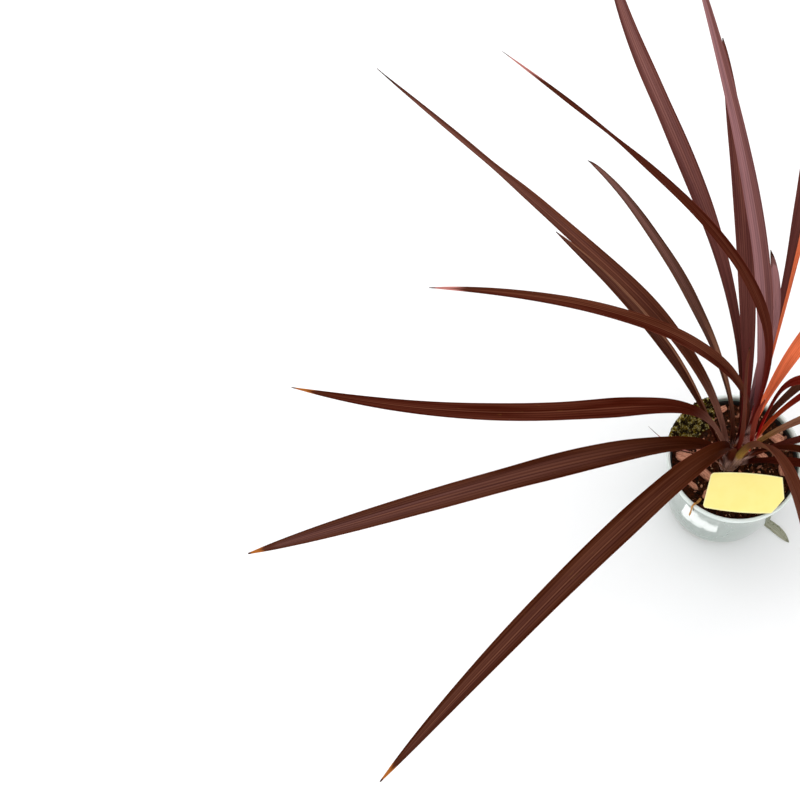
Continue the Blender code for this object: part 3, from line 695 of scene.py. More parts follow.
def soil_finish(looks):
    """Damp dark soil with paler fibres."""
    f = Finish("damp_soil", tint(30, 10, 2), Specular_IOR_Level=0.08)
    where = f.place()
    lumps = f.noise(where, 0.30, 5.0, 0.65)
    grains = f.noise(where, 1.6, 4.0, 0.7)
    fibres = f.noise(where, 0.8, 2.0, 0.5, 3.5)
    f.lay(looks.soil, 1.0, lumps, 0.35, 0.65)
    f.lay(tint(96, 54, 34), 0.55, grains, 0.56, 0.70)
    f.lay(looks.fibre, 0.6, fibres, 0.63, 0.68)
    return f.done(0.78 + grains * 0.2, f.bump(grains, 0.8, 0.9, f.bump(lumps, 2.0, 0.7)))


def build_soil(looks):
    """Soil with small lumps between the trunk and the inner pot."""
    hole = TRUNK_RADIUS + GAP
    inset = GAP + LINER_THICKNESS + 0.2
    breadth = inner_radius(SOIL_LEVEL) - inset - hole
    low = FLOOR_THICKNESS + GAP
    verts = [(x, y, TRUNK_BOTTOM) for x, y in circle(TRUNK_FOOT, hole)]
    for i in range(SOIL_RINGS + 1):
        share = i / SOIL_RINGS
        centre = (TRUNK_FOOT[0] * (1 - share), TRUNK_FOOT[1] * (1 - share))
        for x, y in circle(centre, hole + breadth * share):
            lump = 1.3 * noise.fractal(Vector((x, y, 3.0)) * 0.16, 0.7, 2.1, 4)
            fine = 0.5 * rough(x, y, 9.0, 0.9)
            verts.append((x, y, ground(x, y) + min(0.5, lump + fine)))
    for height in SOIL_SIDE_LEVELS:
        verts += [(x, y, height) for x, y in circle((0, 0), inner_radius(height) - inset)]
    verts += [(x, y, low) for x, y in circle((0, 0), FLOOR_RADIUS - LINER_THICKNESS)]
    verts += [(*TRUNK_FOOT, TRUNK_BOTTOM), (0, 0, low)]
    add_piece("soil_bed", verts, lathe_faces(verts, SECTORS), soil_finish(looks), "soil", 80)


def crumb_finish(looks):
    """Crumbs of soil, bark and fibre, each with its own tone."""
    f = Finish("soil_crumbs", None, Specular_IOR_Level=0.08)
    grains = f.noise(f.place(), 1.4, 3.0, 0.6)
    stops = [(0.0, tint(24, 11, 5)), (0.45, tint(62, 32, 18)), (0.72, tint(112, 66, 44)),
             (0.9, tuple(looks.bark)), (1.0, tint(182, 150, 118))]
    f.colour = f.node("ShaderNodeValToRGB", {"stops": stops}, {0: f.notes()[0]})
    f.lay(tint(30, 20, 14), 0.4, grains, 0.4, 0.7)
    return f.done(0.8 + grains * 0.15, f.bump(grains, 0.4, 0.6))


def crumb_form():
    """The twelve corners and twenty faces of the regular solid that crumbs are made from."""
    golden = (1 + math.sqrt(5)) / 2
    corners = [Vector(corner) for a in (-1, 1) for b in (-golden, golden)
               for corner in ((0, a, b), (a, b, 0), (b, 0, a))]
    faces = [trio for trio in combinations(range(12), 3)
             if all(abs((corners[i] - corners[k]).length - 2) < 0.01 for i, k in combinations(trio, 2))]
    return corners, faces


def build_crumbs(looks):
    """Loose crumbs on the soil, thickest near the rim."""
    rng = random.Random(CRUMB_SEED)
    reach = inner_radius(SOIL_LEVEL) - LINER_THICKNESS - 2.5
    corners, pattern = crumb_form()
    verts, faces, tones = [], [], []
    for _ in range(looks.crumbs):
        angle = rng.uniform(0, math.tau)
        radius = CRUMB_CLEARANCE + (reach - CRUMB_CLEARANCE) * math.sqrt(rng.random())
        size = rng.choice(CRUMB_SIZES) * rng.uniform(0.8, 1.2)
        x, y = radius * math.cos(angle), radius * math.sin(angle)
        centre = Vector((x, y, ground(x, y) + size * rng.uniform(0.0, 0.5)))
        stretch = rng.uniform(1.0, 1.9)
        spin = rng.uniform(0, math.tau)
        turn = Matrix.Rotation(spin, 3, Vector((rng.uniform(-1, 1), rng.uniform(-1, 1), 1)))
        faces += [tuple(len(verts) + i for i in face) for face in pattern]
        for corner in corners:
            p = corner.normalized() * size * rng.uniform(0.72, 1.12)
            verts.append(turn @ Vector((p.x * stretch, p.y, p.z * 0.7)) + centre)
        tones += [(rng.random() ** 1.6, 0.0, 0.0)] * len(corners)
    add_piece("soil_crumbs", verts, faces, crumb_finish(looks), sharp=None, notes=tones)


def trunk_centre(height):
    """Middle of the trunk at a height: it stands upright in the soil and leans above it."""
    share = max(0.0, (height - SOIL_LEVEL) / (LEAN_TOP - SOIL_LEVEL))
    return (TRUNK_FOOT[0] + CROWN_SHIFT[0] * share, TRUNK_FOOT[1] + CROWN_SHIFT[1] * share)


def trunk_radius(height):
    """The trunk is even below the leaves, narrows through the crown and rounds off at its tip."""
    share = max(0.0, (height - TRUNK_CROWN) / (TRUNK_TOP - TRUNK_CROWN))
    rounding = max(0.0, (height - TRUNK_TOP) / (TRUNK_TIP - TRUNK_TOP))
    return TRUNK_RADIUS * (1 - TRUNK_NARROWING * share) * math.sqrt(1 - 0.85 * rounding ** 2)


def bark_finish(looks):
    """Greyish pink bark with darker rings where leaves have fallen."""
    f = Finish("trunk_bark", looks.bark, Specular_IOR_Level=0.25)
    where = f.place()
    x, y, height = f.split(where)
    streaks = f.noise(f.join(x, y, height * 0.12), 0.9, 4.0, 0.6)
    patches = f.noise(where, 0.14, 3.0)
    rings = f.step(f.math("SINE", height * (math.pi / SCAR_SPACING) + patches * 1.5, 0.0), 0.2, 0.9)
    f.lay(tint(98, 62, 48), 1.0, streaks, 0.4, 0.65)
    f.lay(tint(176, 146, 130), 0.5, patches, 0.5, 0.7)
    f.cover(rings * 0.55, tint(74, 44, 34))
    f.lay(tint(96, 34, 24), 0.7, height, 128.0, 160.0)
    return f.done(0.72 + streaks * 0.2, f.bump(streaks, 0.5, 0.7, f.bump(1.0 - rings, 0.5, 0.5)))


def build_trunk(looks):
    """Trunk ringed by the scars of fallen leaves."""
    step = SCAR_SPACING / 4
    heights = [TRUNK_BOTTOM + GAP, 70.0, 96.0]
    heights += [SCARS_FROM + step * i for i in range(int((TRUNK_TOP - SCARS_FROM) / step) + 1)]
    heights += [TRUNK_TOP + (TRUNK_TIP - TRUNK_TOP) * share for share in (0.3, 0.6, 0.8, 1.0)]
    verts = []
    for height in heights:
        cx, cy = trunk_centre(height)
        for k, (x, y) in enumerate(circle((cx, cy), 1.0, TRUNK_SECTORS)):
            wave = height + 0.7 * math.sin(2 * math.tau * k / TRUNK_SECTORS + 0.11 * height)
            ring = 0.5 + 0.5 * math.cos(math.pi * wave / SCAR_SPACING)
            radius = trunk_radius(height) - 0.42 * ring ** 3 - abs(0.18 * rough(x, y, height, 0.8))
            verts.append((cx + (x - cx) * radius, cy + (y - cy) * radius, height))
    verts += [(*trunk_centre(heights[0]), heights[0]), (*trunk_centre(TRUNK_TIP), TRUNK_TIP + 0.4)]
    add_piece("trunk_stem", verts, lathe_faces(verts, TRUNK_SECTORS), bark_finish(looks),
              "trunk", 70)


def sheath_finish():
    """Dry clasping bases of old leaves: pale edges and tips, redder where they are fresh."""
    f = Finish("old_leaf_bases", None, Specular_IOR_Level=0.3)
    across, along, age = f.notes()
    lines = f.grain(across * 9.0, along * 1.5, age * 31.0, 3.0)
    f.colour = f.mix(lines, tint(186, 146, 134), tint(120, 82, 72))
    f.lay(f.mix(lines, tint(128, 88, 40), tint(120, 30, 22)), 1.0, age, 0.35, 0.8)
    f.lay(tint(150, 122, 104), 0.8, along, 0.75, 1.0)
    f.lay(tint(196, 150, 120), 0.5, abs(across), 0.75, 1.0)
    return f.done(0.6 + lines * 0.2, f.bump(lines, 0.3, 0.6))


def sheath_line(index, age, length, spread, lean):
    """One old base for sheet(): it clasps the trunk and narrows to its tip."""
    azimuth = math.radians(index * LEAF_TURN + 20)

    def line(t):
        height = OLD_BASES_FROM + OLD_BASES_RISE * age + length * t
        cx, cy = trunk_centre(height)
        reach = trunk_radius(height) + 0.25 + lean * t * t
        taper = max(0.10, (1 - t ** 2.2) ** 0.8)

        def cross(s):
            angle = azimuth + spread * s * taper
            thick = 0.22 * (1 - 0.6 * abs(s)) * (1.3 - t)
            fringe = 0.5 * rough(s * 3, index, t * 2) * t
            level = height - 1.5 * abs(s) * t + fringe
            outer, inner = [(cx + radius * math.cos(angle), cy + radius * math.sin(angle), level)
                            for radius in (reach + thick + 0.35 * fringe, reach - thick + 0.35 * fringe)]
            return outer, inner, (s, t, age)

        return cross

    return line


def build_sheaths():
    """Short clasping bases of old leaves that overlap round the trunk below the crown."""
    rng = random.Random(OLD_BASES_SEED)
    rows = columns = 8
    verts, faces, shares = [], [], []
    for index in range(OLD_BASES):
        length = rng.uniform(11.0, 17.0)
        spread = math.radians(rng.uniform(52.0, 68.0))
        line = sheath_line(index, index / (OLD_BASES - 1), length, spread, rng.uniform(0.3, 0.9))
        faces += sheet_faces(rows, columns, len(verts))
        points, notes = sheet(rows, columns, line)
        verts += points
        shares += notes
    add_piece("old_leaf_bases", verts, faces, sheath_finish(), sharp=70, notes=shares)


def moss_field():
    """The moss cushion's outline and its mounds, as in the solid."""
    rng = random.Random(MOSS_SEED)
    turn = math.radians(MOSS_ANGLE)
    edge = inner_radius(SOIL_LEVEL) - 5 * GAP
    mounds = [(rng.uniform(-1, 1) * MOSS_LENGTH, rng.uniform(-1, 1) * MOSS_BREADTH, rng.uniform(2.5, 5.0))
              for _ in range(MOSS_MOUNDS)]

    def place(share, angle):
        ragged = 1 + 0.10 * math.sin(5 * angle + 0.7) + 0.07 * math.sin(9 * angle)
        u = MOSS_LENGTH * share * ragged * math.cos(angle)
        v = MOSS_BREADTH * share * ragged * math.sin(angle)
        x = MOSS_CENTRE[0] + u * math.cos(turn) - v * math.sin(turn)
        y = MOSS_CENTRE[1] + u * math.sin(turn) + v * math.cos(turn)
        reach = math.hypot(x, y)
        if reach > edge:
            x, y = x * edge / reach, y * edge / reach
        lumps = [size * 0.45 * (1 - ((u - mu) ** 2 + (v - mv) ** 2) / size ** 2) for mu, mv, size in mounds]
        return x, y, max(0.0, *lumps)

    return place


def moss_foot(place, share, angle):
    """Point on the cushion's underside."""
    x, y, _ = place(share, angle)
    return x, y, ground(x, y) + 2 * GAP


def moss_top(place, share, angle):
    """Point on the cushion's upper side."""
    x, y, lump = place(share * 0.985, angle)
    crown = 0.9 + MOSS_HEIGHT * 0.45 * (1 - share ** 3)
    fuzz = 0.5 * rough(x, y, 5.0, 0.9)
    return x, y, ground(x, y) + 2 * GAP + crown + lump * (1 - 0.5 * share ** 4) + fuzz


def moss_finish(looks):
    """Moss with painted highlights on its tips and painted shade, nearly black, between them."""
    f = Finish("moss_green", looks.moss_shade, Specular_IOR_Level=0.05)
    tone, rise, _ = f.notes()
    patches = f.noise(f.place(), 0.22, 3.0, 0.6)
    fresh = f.mix(f.step(patches, 0.42, 0.58), tint(62, 46, 6), looks.moss)
    # Painted highlight: near-white on the tips of some shoots.
    fresh = f.mix(f.step(tone + patches, 1.22, 1.36), fresh, tint(240, 232, 176))
    # Painted shade: each shoot darkens from its tip down to its foot.
    f.lay(fresh, 1.0, rise, 0.0, 0.75)
    # Painted shade: near-black patches between the clumps of moss.
    f.lay(tint(34, 16, 3), 0.92, patches, 0.56, 0.44)
    return f.done(0.8 + patches * 0.15)


def lip_top(radius):
    """Height of the pot's rolled lip at a distance from its axis."""
    bead = WALL / 2
    return POT_HEIGHT - bead + math.sqrt(max(0.0, bead ** 2 - (radius - RIM_RADIUS + bead) ** 2))


def moss_clump(x, y):
    """How high the moss stands out in clumps, from 0 to 1."""
    return smoothstep(0.5 + 0.9 * rough(x, y, 2.0, 0.24))


def moss_drape(share, azimuth):
    """Point on the thin moss that creeps over the lip: share runs from inside to outside."""
    radius = DRAPE_REACH[0] + (DRAPE_REACH[1] - DRAPE_REACH[0]) * share
    x, y, _ = around(azimuth, radius, 0.0)
    inner = max(0.0, RIM_RADIUS - WALL - radius)
    thin = min(1.0, 6.0 * share * (1.05 - share))
    return Vector((x, y, lip_top(radius) - inner * 1.1 + thin * (0.5 + 1.8 * moss_clump(x, y))))


def build_drape(finish):
    """The sheet of moss that creeps over the lip at the upper left."""
    rows = 90
    columns = 14
    first, last = DRAPE_AZIMUTHS

    def line(t):
        def cross(s):
            top = moss_drape((s + 1) / 2, first + (last - first) * t)
            return top, top - Vector((0, 0, DRAPE_THICKNESS)), (0.3, 0.2, 0.0)

        return cross

    verts, tones = sheet(rows, columns, line)
    add_piece("moss_drape", verts, sheet_faces(rows, columns), finish, sharp=80, notes=tones)


def add_shoot(rng, foot, length, verts, faces, tones):
    """One pointed moss shoot."""
    lean = Vector((rng.gauss(0, 0.55), rng.gauss(0, 0.55), 1)).normalized()
    side = lean.orthogonal().normalized() * rng.uniform(0.22, 0.42)
    other = lean.cross(side)
    base = len(verts)
    low = foot - lean * 0.5
    middle = foot + lean * length * 0.55
    verts += [low + side, low - side * 0.5 + other * 0.9, low - side * 0.5 - other * 0.9]
    verts += [middle + side * 1.1, middle - side * 0.55 + other, middle - side * 0.55 - other]
    verts.append(foot + lean * length)
    faces.append((base, base + 2, base + 1))
    for k in range(3):
        nxt = (k + 1) % 3
        faces.append((base + k, base + nxt, base + 3 + nxt, base + 3 + k))
        faces.append((base + 3 + k, base + 3 + nxt, base + 6))
    tone = rng.random()
    tones += [(tone, 0.0, 0.0)] * 3 + [(tone, 0.55, 0.0)] * 3 + [(tone, 1.0, 0.0)]


def build_moss(looks):
    """Moss cushion with standing shoots."""
    place = moss_field()
    finish = moss_finish(looks)
    rings = [(i + 1) / MOSS_RINGS for i in range(MOSS_RINGS)]
    angles = [math.tau * k / MOSS_SECTORS for k in range(MOSS_SECTORS)]
    verts = [moss_foot(place, share, angle) for share in rings for angle in angles]
    verts += [moss_top(place, share, angle) for share in reversed(rings) for angle in angles]
    verts += [moss_foot(place, 0.0, 0.0), moss_top(place, 0.0, 0.0)]
    add_piece("moss_cushion", verts, lathe_faces(verts, MOSS_SECTORS), finish, "moss", 80,
              notes=[(0.3, 0.12, 0.0)] * len(verts))
    build_drape(finish)
    rng = random.Random(MOSS_SEED + 1)
    verts, faces, tones = [], [], []
    for _ in range(looks.tufts):
        share = math.sqrt(rng.random()) * 1.03
        foot = Vector(moss_top(place, min(1.0, share), rng.uniform(0, math.tau)))
        tall = 0.5 + 1.3 * moss_clump(foot.x, foot.y)
        add_shoot(rng, foot, rng.uniform(1.0, 2.6) * (1.1 - 0.4 * share) * tall, verts, faces, tones)
    for _ in range(looks.drape_tufts):
        foot = moss_drape(rng.random(), rng.uniform(*DRAPE_AZIMUTHS))
        add_shoot(rng, foot, rng.uniform(0.8, 2.0), verts, faces, tones)
    add_piece("moss_shoots", verts, faces, finish, sharp=80, notes=tones)


def chip_finish(looks, number):
    """Bark with a weathered top, grain along its length and darker broken sides."""
    f = Finish("bark_chip_%02d" % number, looks.bark, Specular_IOR_Level=0.25)
    along, across, rise = f.notes()
    grain = f.grain(along * 0.10, across * 0.9, number * 7.3, 4.0, 0.65)
    cracks = f.grain(along * 0.22, across * 0.35, number * 3.1, 3.0, 0.7, 1.2)
    f.lay(tint(150, 92, 70), 1.0, grain, 0.38, 0.66)
    f.lay(tint(84, 44, 32), 0.75, cracks, 0.54, 0.68)
    f.lay(tint(204, 162, 140), 0.5, grain, 0.62, 0.8)
    f.cover(1.0 - f.step(rise, 0.35, 0.8), looks.bark_core)
    return f.done(0.75 + grain * 0.2, f.bump(grain, 0.7, 0.8, f.bump(1.0 - cracks, 1.0, 0.6)))


def chip_outline(rng, length, breadth):
    """Corners of the solid chip in its own plane."""
    corners = []
    for k in range(CHIP_CORNERS):
        a = math.tau * k / CHIP_CORNERS
        reach = rng.uniform(0.82, 1.08)
        corners.append((length / 2 * reach * math.copysign(abs(math.cos(a)) ** 0.7, math.cos(a)),
                        breadth / 2 * reach * math.copysign(abs(math.sin(a)) ** 0.7, math.sin(a))))
    return corners


def build_chip(number, x, y, length, breadth, turn, looks):
    """A split piece of bark with a ridged top and splintered ends."""
    rng = random.Random(CHIP_SEED + number)
    angle = math.radians(turn)
    corners = chip_outline(rng, length, breadth)
    slope = (rng.uniform(-0.10, 0.10), rng.uniform(-0.10, 0.10))
    ring = []
    for (u0, v0), (u1, v1) in zip(corners, corners[1:] + corners[:1]):
        for i in range(CHIP_STEPS):
            u = u0 + (u1 - u0) * i / CHIP_STEPS
            v = v0 + (v1 - v0) * i / CHIP_STEPS
            jag = 1 + 0.05 * rough(u, v, number, 0.9)
            ring.append((u * jag, v * jag))

    def world(u, v):
        return x + u * math.cos(angle) - v * math.sin(angle), y + u * math.sin(angle) + v * math.cos(angle)

    def slab(px, py):
        return slope[0] * (px - x) + slope[1] * (py - y)

    inside = [world(u * s, v * s) for u, v in corners for s in (0.0, 0.35, 0.7, 1.0)]
    base = max(ground(px, py) - slab(px, py) for px, py in inside) + GAP
    verts, notes = [], []
    for spread, share in CHIP_LAYERS:
        for u, v in ring:
            u, v = u * spread, v * spread
            px, py = world(u, v)
            ridge = 0.55 * noise.fractal(Vector((u * 0.09, v * 0.55, number)), 0.8, 2.0, 3)
            level = CHIP_THICKNESS * share + (ridge if share > 0.3 else 0.0)
            verts.append((px, py, base + slab(px, py) + level))
            notes.append((u, v, share))
    verts += [(x, y, base), (x, y, base + CHIP_THICKNESS * 1.02)]
    notes += [(0, 0, 0), (0, 0, 1)]
    name = "bark_chip_%02d" % (number + 1)
    add_piece("fine_" + name, verts, lathe_faces(verts, len(ring)), chip_finish(looks, number),
              name, 42, notes)


def card_finish(looks):
    """Bare glossy card with a faint fibre and lighter worn edges."""
    f = Finish("label_card", looks.card, IOR=1.45, Specular_IOR_Level=0.35)
    u, v, _ = f.notes()
    where = f.place()
    fibre = f.noise(where, 0.7, 4.0, 0.6)
    smudge = f.noise(where, 0.07)
    edge = f.math("MAXIMUM", f.step(abs(u), 0.95, 1.0), f.step(abs(v), 0.90, 1.0))
    f.lay(tint(252, 232, 132), 0.35, smudge, 0.40, 0.70)
    f.lay(tint(248, 224, 130), 0.15, fibre, 0.55, 0.75)
    f.cover(edge * 0.5, looks.edge)
    return f.done(0.34 + fibre * 0.14 + edge * 0.1, f.bump(fibre, 0.04, 0.4))


def label_half_width(v):
    """Half of the head's width at a distance v above its middle line."""
    return (LABEL_TOP_WIDTH + (LABEL_WIDTH - LABEL_TOP_WIDTH) * (0.5 - v / LABEL_HEIGHT)) / 2


def label_column(share):
    """Lower and upper end of one column of the head: share runs from -1 at its left to 1."""
    bulge = LABEL_BULGE * (1 - share ** 2)
    reach = share * LABEL_WIDTH / 2
    cut = max(0.0, reach - LABEL_WIDTH / 2 + LABEL_CORNER)
    eased = max(0.0, LABEL_SMALL_CORNER - (reach + LABEL_WIDTH / 2))
    low = -LABEL_HEIGHT / 2 - bulge + cut + eased
    high = LABEL_HEIGHT / 2 + bulge - eased
    return Vector((share * label_half_width(low), low)), Vector((share * label_half_width(high), high))


def label_line(t):
    """The label's head for sheet(), from its left end to its right one: a bowed card with soft edges."""
    place = (Matrix.Translation(LABEL_CENTRE) @ Matrix.Rotation(math.radians(LABEL_TURN), 4, "Z")
             @ Matrix.Rotation(math.radians(LABEL_TILT), 4, "X"))
    share = 2 * t - 1
    low, high = label_column(share)
    bow = LABEL_BOW * math.cos(math.pi / 2 * share)

    def cross(s):
        worn = 0.3 * max(abs(share), abs(s)) ** 14
        spot = low.lerp(high, (s + 1) / 2)
        upper, lower = [place @ Vector((*spot, bow + LABEL_THICKNESS * level)) for level in (1 - worn, worn)]
        return upper, lower, (share, s, 0.0)

    return cross


def build_label(looks):
    """Bare plant label on a ribbed stake."""
    finish = card_finish(looks)
    columns = 72
    rows = 20
    verts, notes = sheet(columns, rows, label_line)
    add_piece("label_head", verts, sheet_faces(columns, rows), finish, "label", notes=notes)
    verts = []
    turn = math.radians(LABEL_TURN)
    top = LABEL_CENTRE[2] + LABEL_BOW
    for height in (*STAKE_LEVELS, top):
        point = min(1.0, 0.25 + 0.75 * (height - STAKE_BOTTOM) / STAKE_POINT)
        for a, b in STAKE_SECTION:
            u, v = a * STAKE_WIDTH / 2 * point, b * STAKE_THICKNESS / 2
            verts.append((LABEL_CENTRE[0] + u * math.cos(turn) - v * math.sin(turn),
                          LABEL_CENTRE[1] + u * math.sin(turn) + v * math.cos(turn), height))
    verts += [(*LABEL_CENTRE[:2], STAKE_BOTTOM), (*LABEL_CENTRE[:2], top)]
    add_piece("label_stake", verts, lathe_faces(verts, len(STAKE_SECTION)), finish, sharp=30,
              notes=[(0.0, 0.0, 0.0)] * len(verts))


def from_crown(azimuth, reach, height):
    """Point at an azimuth in degrees and a reach from the crown's axis."""
    return around(azimuth, reach, height) + Vector((*CROWN, 0.0))


def cubic(points, t):
    """Point and direction of a cubic curve."""
    a, b, c, d = points
    u = 1 - t
    place = a * u ** 3 + b * (3 * u * u * t) + c * (3 * u * t * t) + d * t ** 3
    along = (b - a) * (3 * u * u) + (c - b) * (6 * u * t) + (d - c) * (3 * t * t)
    return place, along.normalized()


def blade_width(t):
    """Share of the full width: a narrow neck, the widest part past the middle, a long taper."""
    swell = NECK_WIDTH + (FULL_WIDTH - NECK_WIDTH) * smoothstep(t / WIDEST_AT)
    return max(TIP_WIDTH, swell * (1 - t ** TAPER_POWER) ** TAPER_ROUNDING)


def blade_fold(t):
    """Angle in degrees by which each half of the blade is folded up from flat."""
    deepening = (NECK_FOLD - ROOT_FOLD) * smoothstep(t / NECK_END)
    easing = (NECK_FOLD - BLADE_FOLD) * smoothstep((t - NECK_END) / (FLAT_FROM - NECK_END))
    return ROOT_FOLD + deepening - easing


def blade_body(t):
    """Thickness along the blade, which is half as thick again at its root."""
    return LEAF_THICKNESS * (1.5 - 0.5 * smoothstep(t / 0.3))


def root_offset(root_height, width):
    """Distance of a leaf's root from the trunk's middle, where its folded neck just clears the bark."""
    radius = trunk_radius(root_height)
    half = width / 2 * blade_width(0.0)
    fold = math.radians(blade_fold(0.0))
    edge = half * math.sin(fold) - (half * math.cos(fold)) ** 2 / (2 * radius)
    neck = blade_body(0.0) / 2 - half * math.sin(fold) / 2
    return radius + GAP + neck + max(0.0, edge)


def toward(colour, other, share):
    """A colour part of the way from one to another."""
    return tuple(a + (b - a) * share for a, b in zip(colour, other))


def leaf_finish(name, looks, seed):
    """Leathery leaf: lines of veins, a lighter midrib, thin pale margins, a tinted root, a dry tip."""
    _, body_name, root_name, tip_name, dried, _ = LEAF_LOOKS[name]
    body = tuple(getattr(looks, body_name))
    vein = toward(body, VEIN_TINT, 0.12)
    shade = toward(body, SHADE_TINT, 0.62)
    f = Finish("leaf_%s_skin" % name, body, Specular_IOR_Level=0.03, IOR=1.33)
    across, along, under = f.notes()
    edge = abs(across)
    broad = f.grain(across * 2.2, along * 5.0, seed * 3.7)
    lines = f.grain(across * 5.0, along * 0.8, seed * 1.9, 3.0, 0.6)
    fine = f.grain(across * 30.0, along * 2.2, seed * 2.3, 2.0, 0.6)
    flecks = f.grain(across * 14.0, along * 60.0, seed * 5.1)
    ribs = f.math("COSINE", across * (LEAF_RIBS * math.pi) + (lines - 0.5) * 2.4, 0.0)
    grown = f.step(along, 0.10, 0.65)
    if name in SIDE_TINTS:
        border, second, reach = SIDE_TINTS[name]
        side = f.step(across + (broad - 0.5) * 0.3, border, border - 0.25)
        f.cover(side * f.step(along, reach + 0.15, reach), getattr(looks, second))
    f.lay(shade, 0.45, broad, 0.30, 0.70)
    # Painted sheen: a pinkish highlight on the outer middle of the blade.
    if name in PAINTED_SHEENS:
        painted_sheen = f.step(edge + broad * 0.3, 1.15, 0.35) * f.step(fine, 0.25, 0.6)
        f.lay(PAINTED_SHEEN_TINT, painted_sheen * PAINTED_SHEENS[name], along, 0.20, 0.85)
    f.lay(toward(vein, VEIN_TINT, 0.05), grown * 0.20, broad, 0.62, 0.40)
    # Painted shade in the grooves between the ribs.
    f.lay(shade, 0.12 + grown * 0.42, ribs, -0.45, -1.0)
    f.lay(vein, f.step(lines, 0.42, 0.66) * (0.10 + grown * 0.50) * looks.veins, ribs, 0.66, 0.99)
    f.lay(vein, (0.12 + grown * 0.34) * looks.veins, fine, 0.56, 0.74)
    f.lay(shade, 0.45, fine, 0.45, 0.30)
    f.lay(tint(122, 92, 40), grown * 0.35, flecks, 0.70, 0.78)
    f.lay(toward(vein, VEIN_TINT, 0.10), 0.05 + grown * 0.25, edge, 0.06, 0.02)
    f.cover(under * 0.3, vein)
    f.lay(tint(140, 62, 50), 0.35, edge, 0.955, 0.995)
    root, reach = ROOT_TINTS[root_name]
    streaks = f.step(fine, 0.4, 0.7)
    f.lay(f.mix(streaks * 0.5, root, shade), 0.85, along + broad * 0.06, reach, reach * 0.4)
    f.lay(f.mix(streaks, looks.bark, shade), 0.85, along, 0.045, 0.015)
    ragged = along + (broad - 0.5) * dried * 0.8 + (fine - 0.5) * dried * 0.5 + edge * dried * 0.35
    withered = f.step(ragged, 1.0 - dried, 1.0 - dried * 0.55)
    fading = 1.0 - f.step(ragged, 1.0 - dried * 0.9, 1.0 - dried * 0.4)
    f.lay(tint(66, 30, 16), fading * 0.6, ragged, 1.0 - dried * 2.0, 1.0 - dried * 1.5)
    f.cover(withered, TIP_TINTS[tip_name])
    f.lay(tint(66, 26, 10), 1.0, along, 1.0 - dried * 0.28, 1.0 - dried * 0.12)
    return f.done(0.44 + fine * 0.16 + withered * 0.3, f.bump(lines, 0.22, 0.45, f.bump(fine, 0.10, 0.6)))


def leaf_line(name, points, side, width, roll, seed):
    """A blade for sheet(), with soft ribs, waved edges and thin margins."""
    wave = LEAF_LOOKS[name][5]
    pinch_at, pinch_depth, pinch_span = PINCHES.get(name, (0.0, 0.0, 1.0))
    last = None

    def line(t):
        nonlocal side, last
        place, along = cubic(points, t)
        if last is not None:
            side = last.rotation_difference(along) @ side
        last = along
        across = (side - along * side.dot(along)).normalized()
        across = Matrix.Rotation(math.radians(roll * smoothstep(t)), 3, along) @ across
        up = along.cross(across)
        pinch = 1 - pinch_depth * math.exp(-((t - pinch_at) / pinch_span) ** 2)
        half = width / 2 * blade_width(t) * pinch * (1 + 0.06 * rough(t * 9.0, seed * 1.7, 0.5))
        fold = math.radians(blade_fold(t))
        body = blade_body(t) * (1 - 0.55 * t ** 6) * min(1.0, 0.35 + half / 2.5)
        sway = wave * smoothstep(t / 0.2) * rough(t * 5.0, seed * 2.9, 7.5)
        place = place + across * sway * 0.8
        relief = RIB_HEIGHT * (0.15 + 0.85 * smoothstep((t - 0.12) / 0.4)) * min(1.0, half / 5.0)

        def cross(s):
            lift = half * math.sin(fold) * (math.sqrt(s * s + 0.004) - 0.03 - 0.5)
            curl = wave * abs(s) ** 2.5 * rough(t * 7.0, seed * 4.1, 2.0 + math.copysign(1.5, s))
            rib = relief * math.cos(LEAF_RIBS * math.pi * s)
            thick = body / 2 * (0.25 + 0.75 * (1 - abs(s) ** 1.6))
            spot = place + across * (half * math.cos(fold) * s) + up * (lift + curl)
            return spot + up * (thick + rib), spot - up * (thick - rib), (s, t)

        return cross

    return line


def build_leaf(seed, row, looks):
    """One leaf that follows its solid's curve, with a skin of its own."""
    name, root_azimuth, root_height, rise, bend, tip, width, roll = row
    out = around(root_azimuth, 1.0, 0.0)
    root = Vector((*trunk_centre(root_height), root_height)) + out * root_offset(root_height, width)
    points = [root, from_crown(*rise), from_crown(*bend), from_crown(*tip)]
    side = Vector((-out.y, out.x, 0.0))
    verts, notes = sheet(LEAF_SEGMENTS, LEAF_COLUMNS, leaf_line(name, points, side, width, roll, seed))
    half = len(notes) // 2
    notes = [(s, t, 0.0) for s, t in notes[:half]] + [(s, t, 1.0) for s, t in notes[half:]]
    add_piece("fine_leaf_" + name, verts, sheet_faces(LEAF_SEGMENTS, LEAF_COLUMNS),
              leaf_finish(name, looks, seed), "leaf_" + name, 75, notes)


def dry_route():
    """Reach and height along the dry blade: off the soil, over the lip and down outside."""
    off = GAP + DRY_THICKNESS / 2
    lip = (RIM_RADIUS - WALL / 2, POT_HEIGHT - WALL / 2)
    bend = WALL / 2 + off
    turns = 6
    drops = 4
    route = [(DRY_START, SOIL_LEVEL + 1.8 + off), (DRY_START + 5.5, 108.5), (lip[0] - 3.8, 112.8)]
    for i in range(turns):
        a = math.radians(150 * (1 - i / (turns - 1)))
        route.append((lip[0] + bend * math.cos(a), lip[1] + bend * math.sin(a)))
    for i in range(1, drops + 1):
        drop = DRY_OUTSIDE * i / drops
        route.append((RIM_RADIUS + off - DRY_SLACK * drop, lip[1] - drop))
    return route


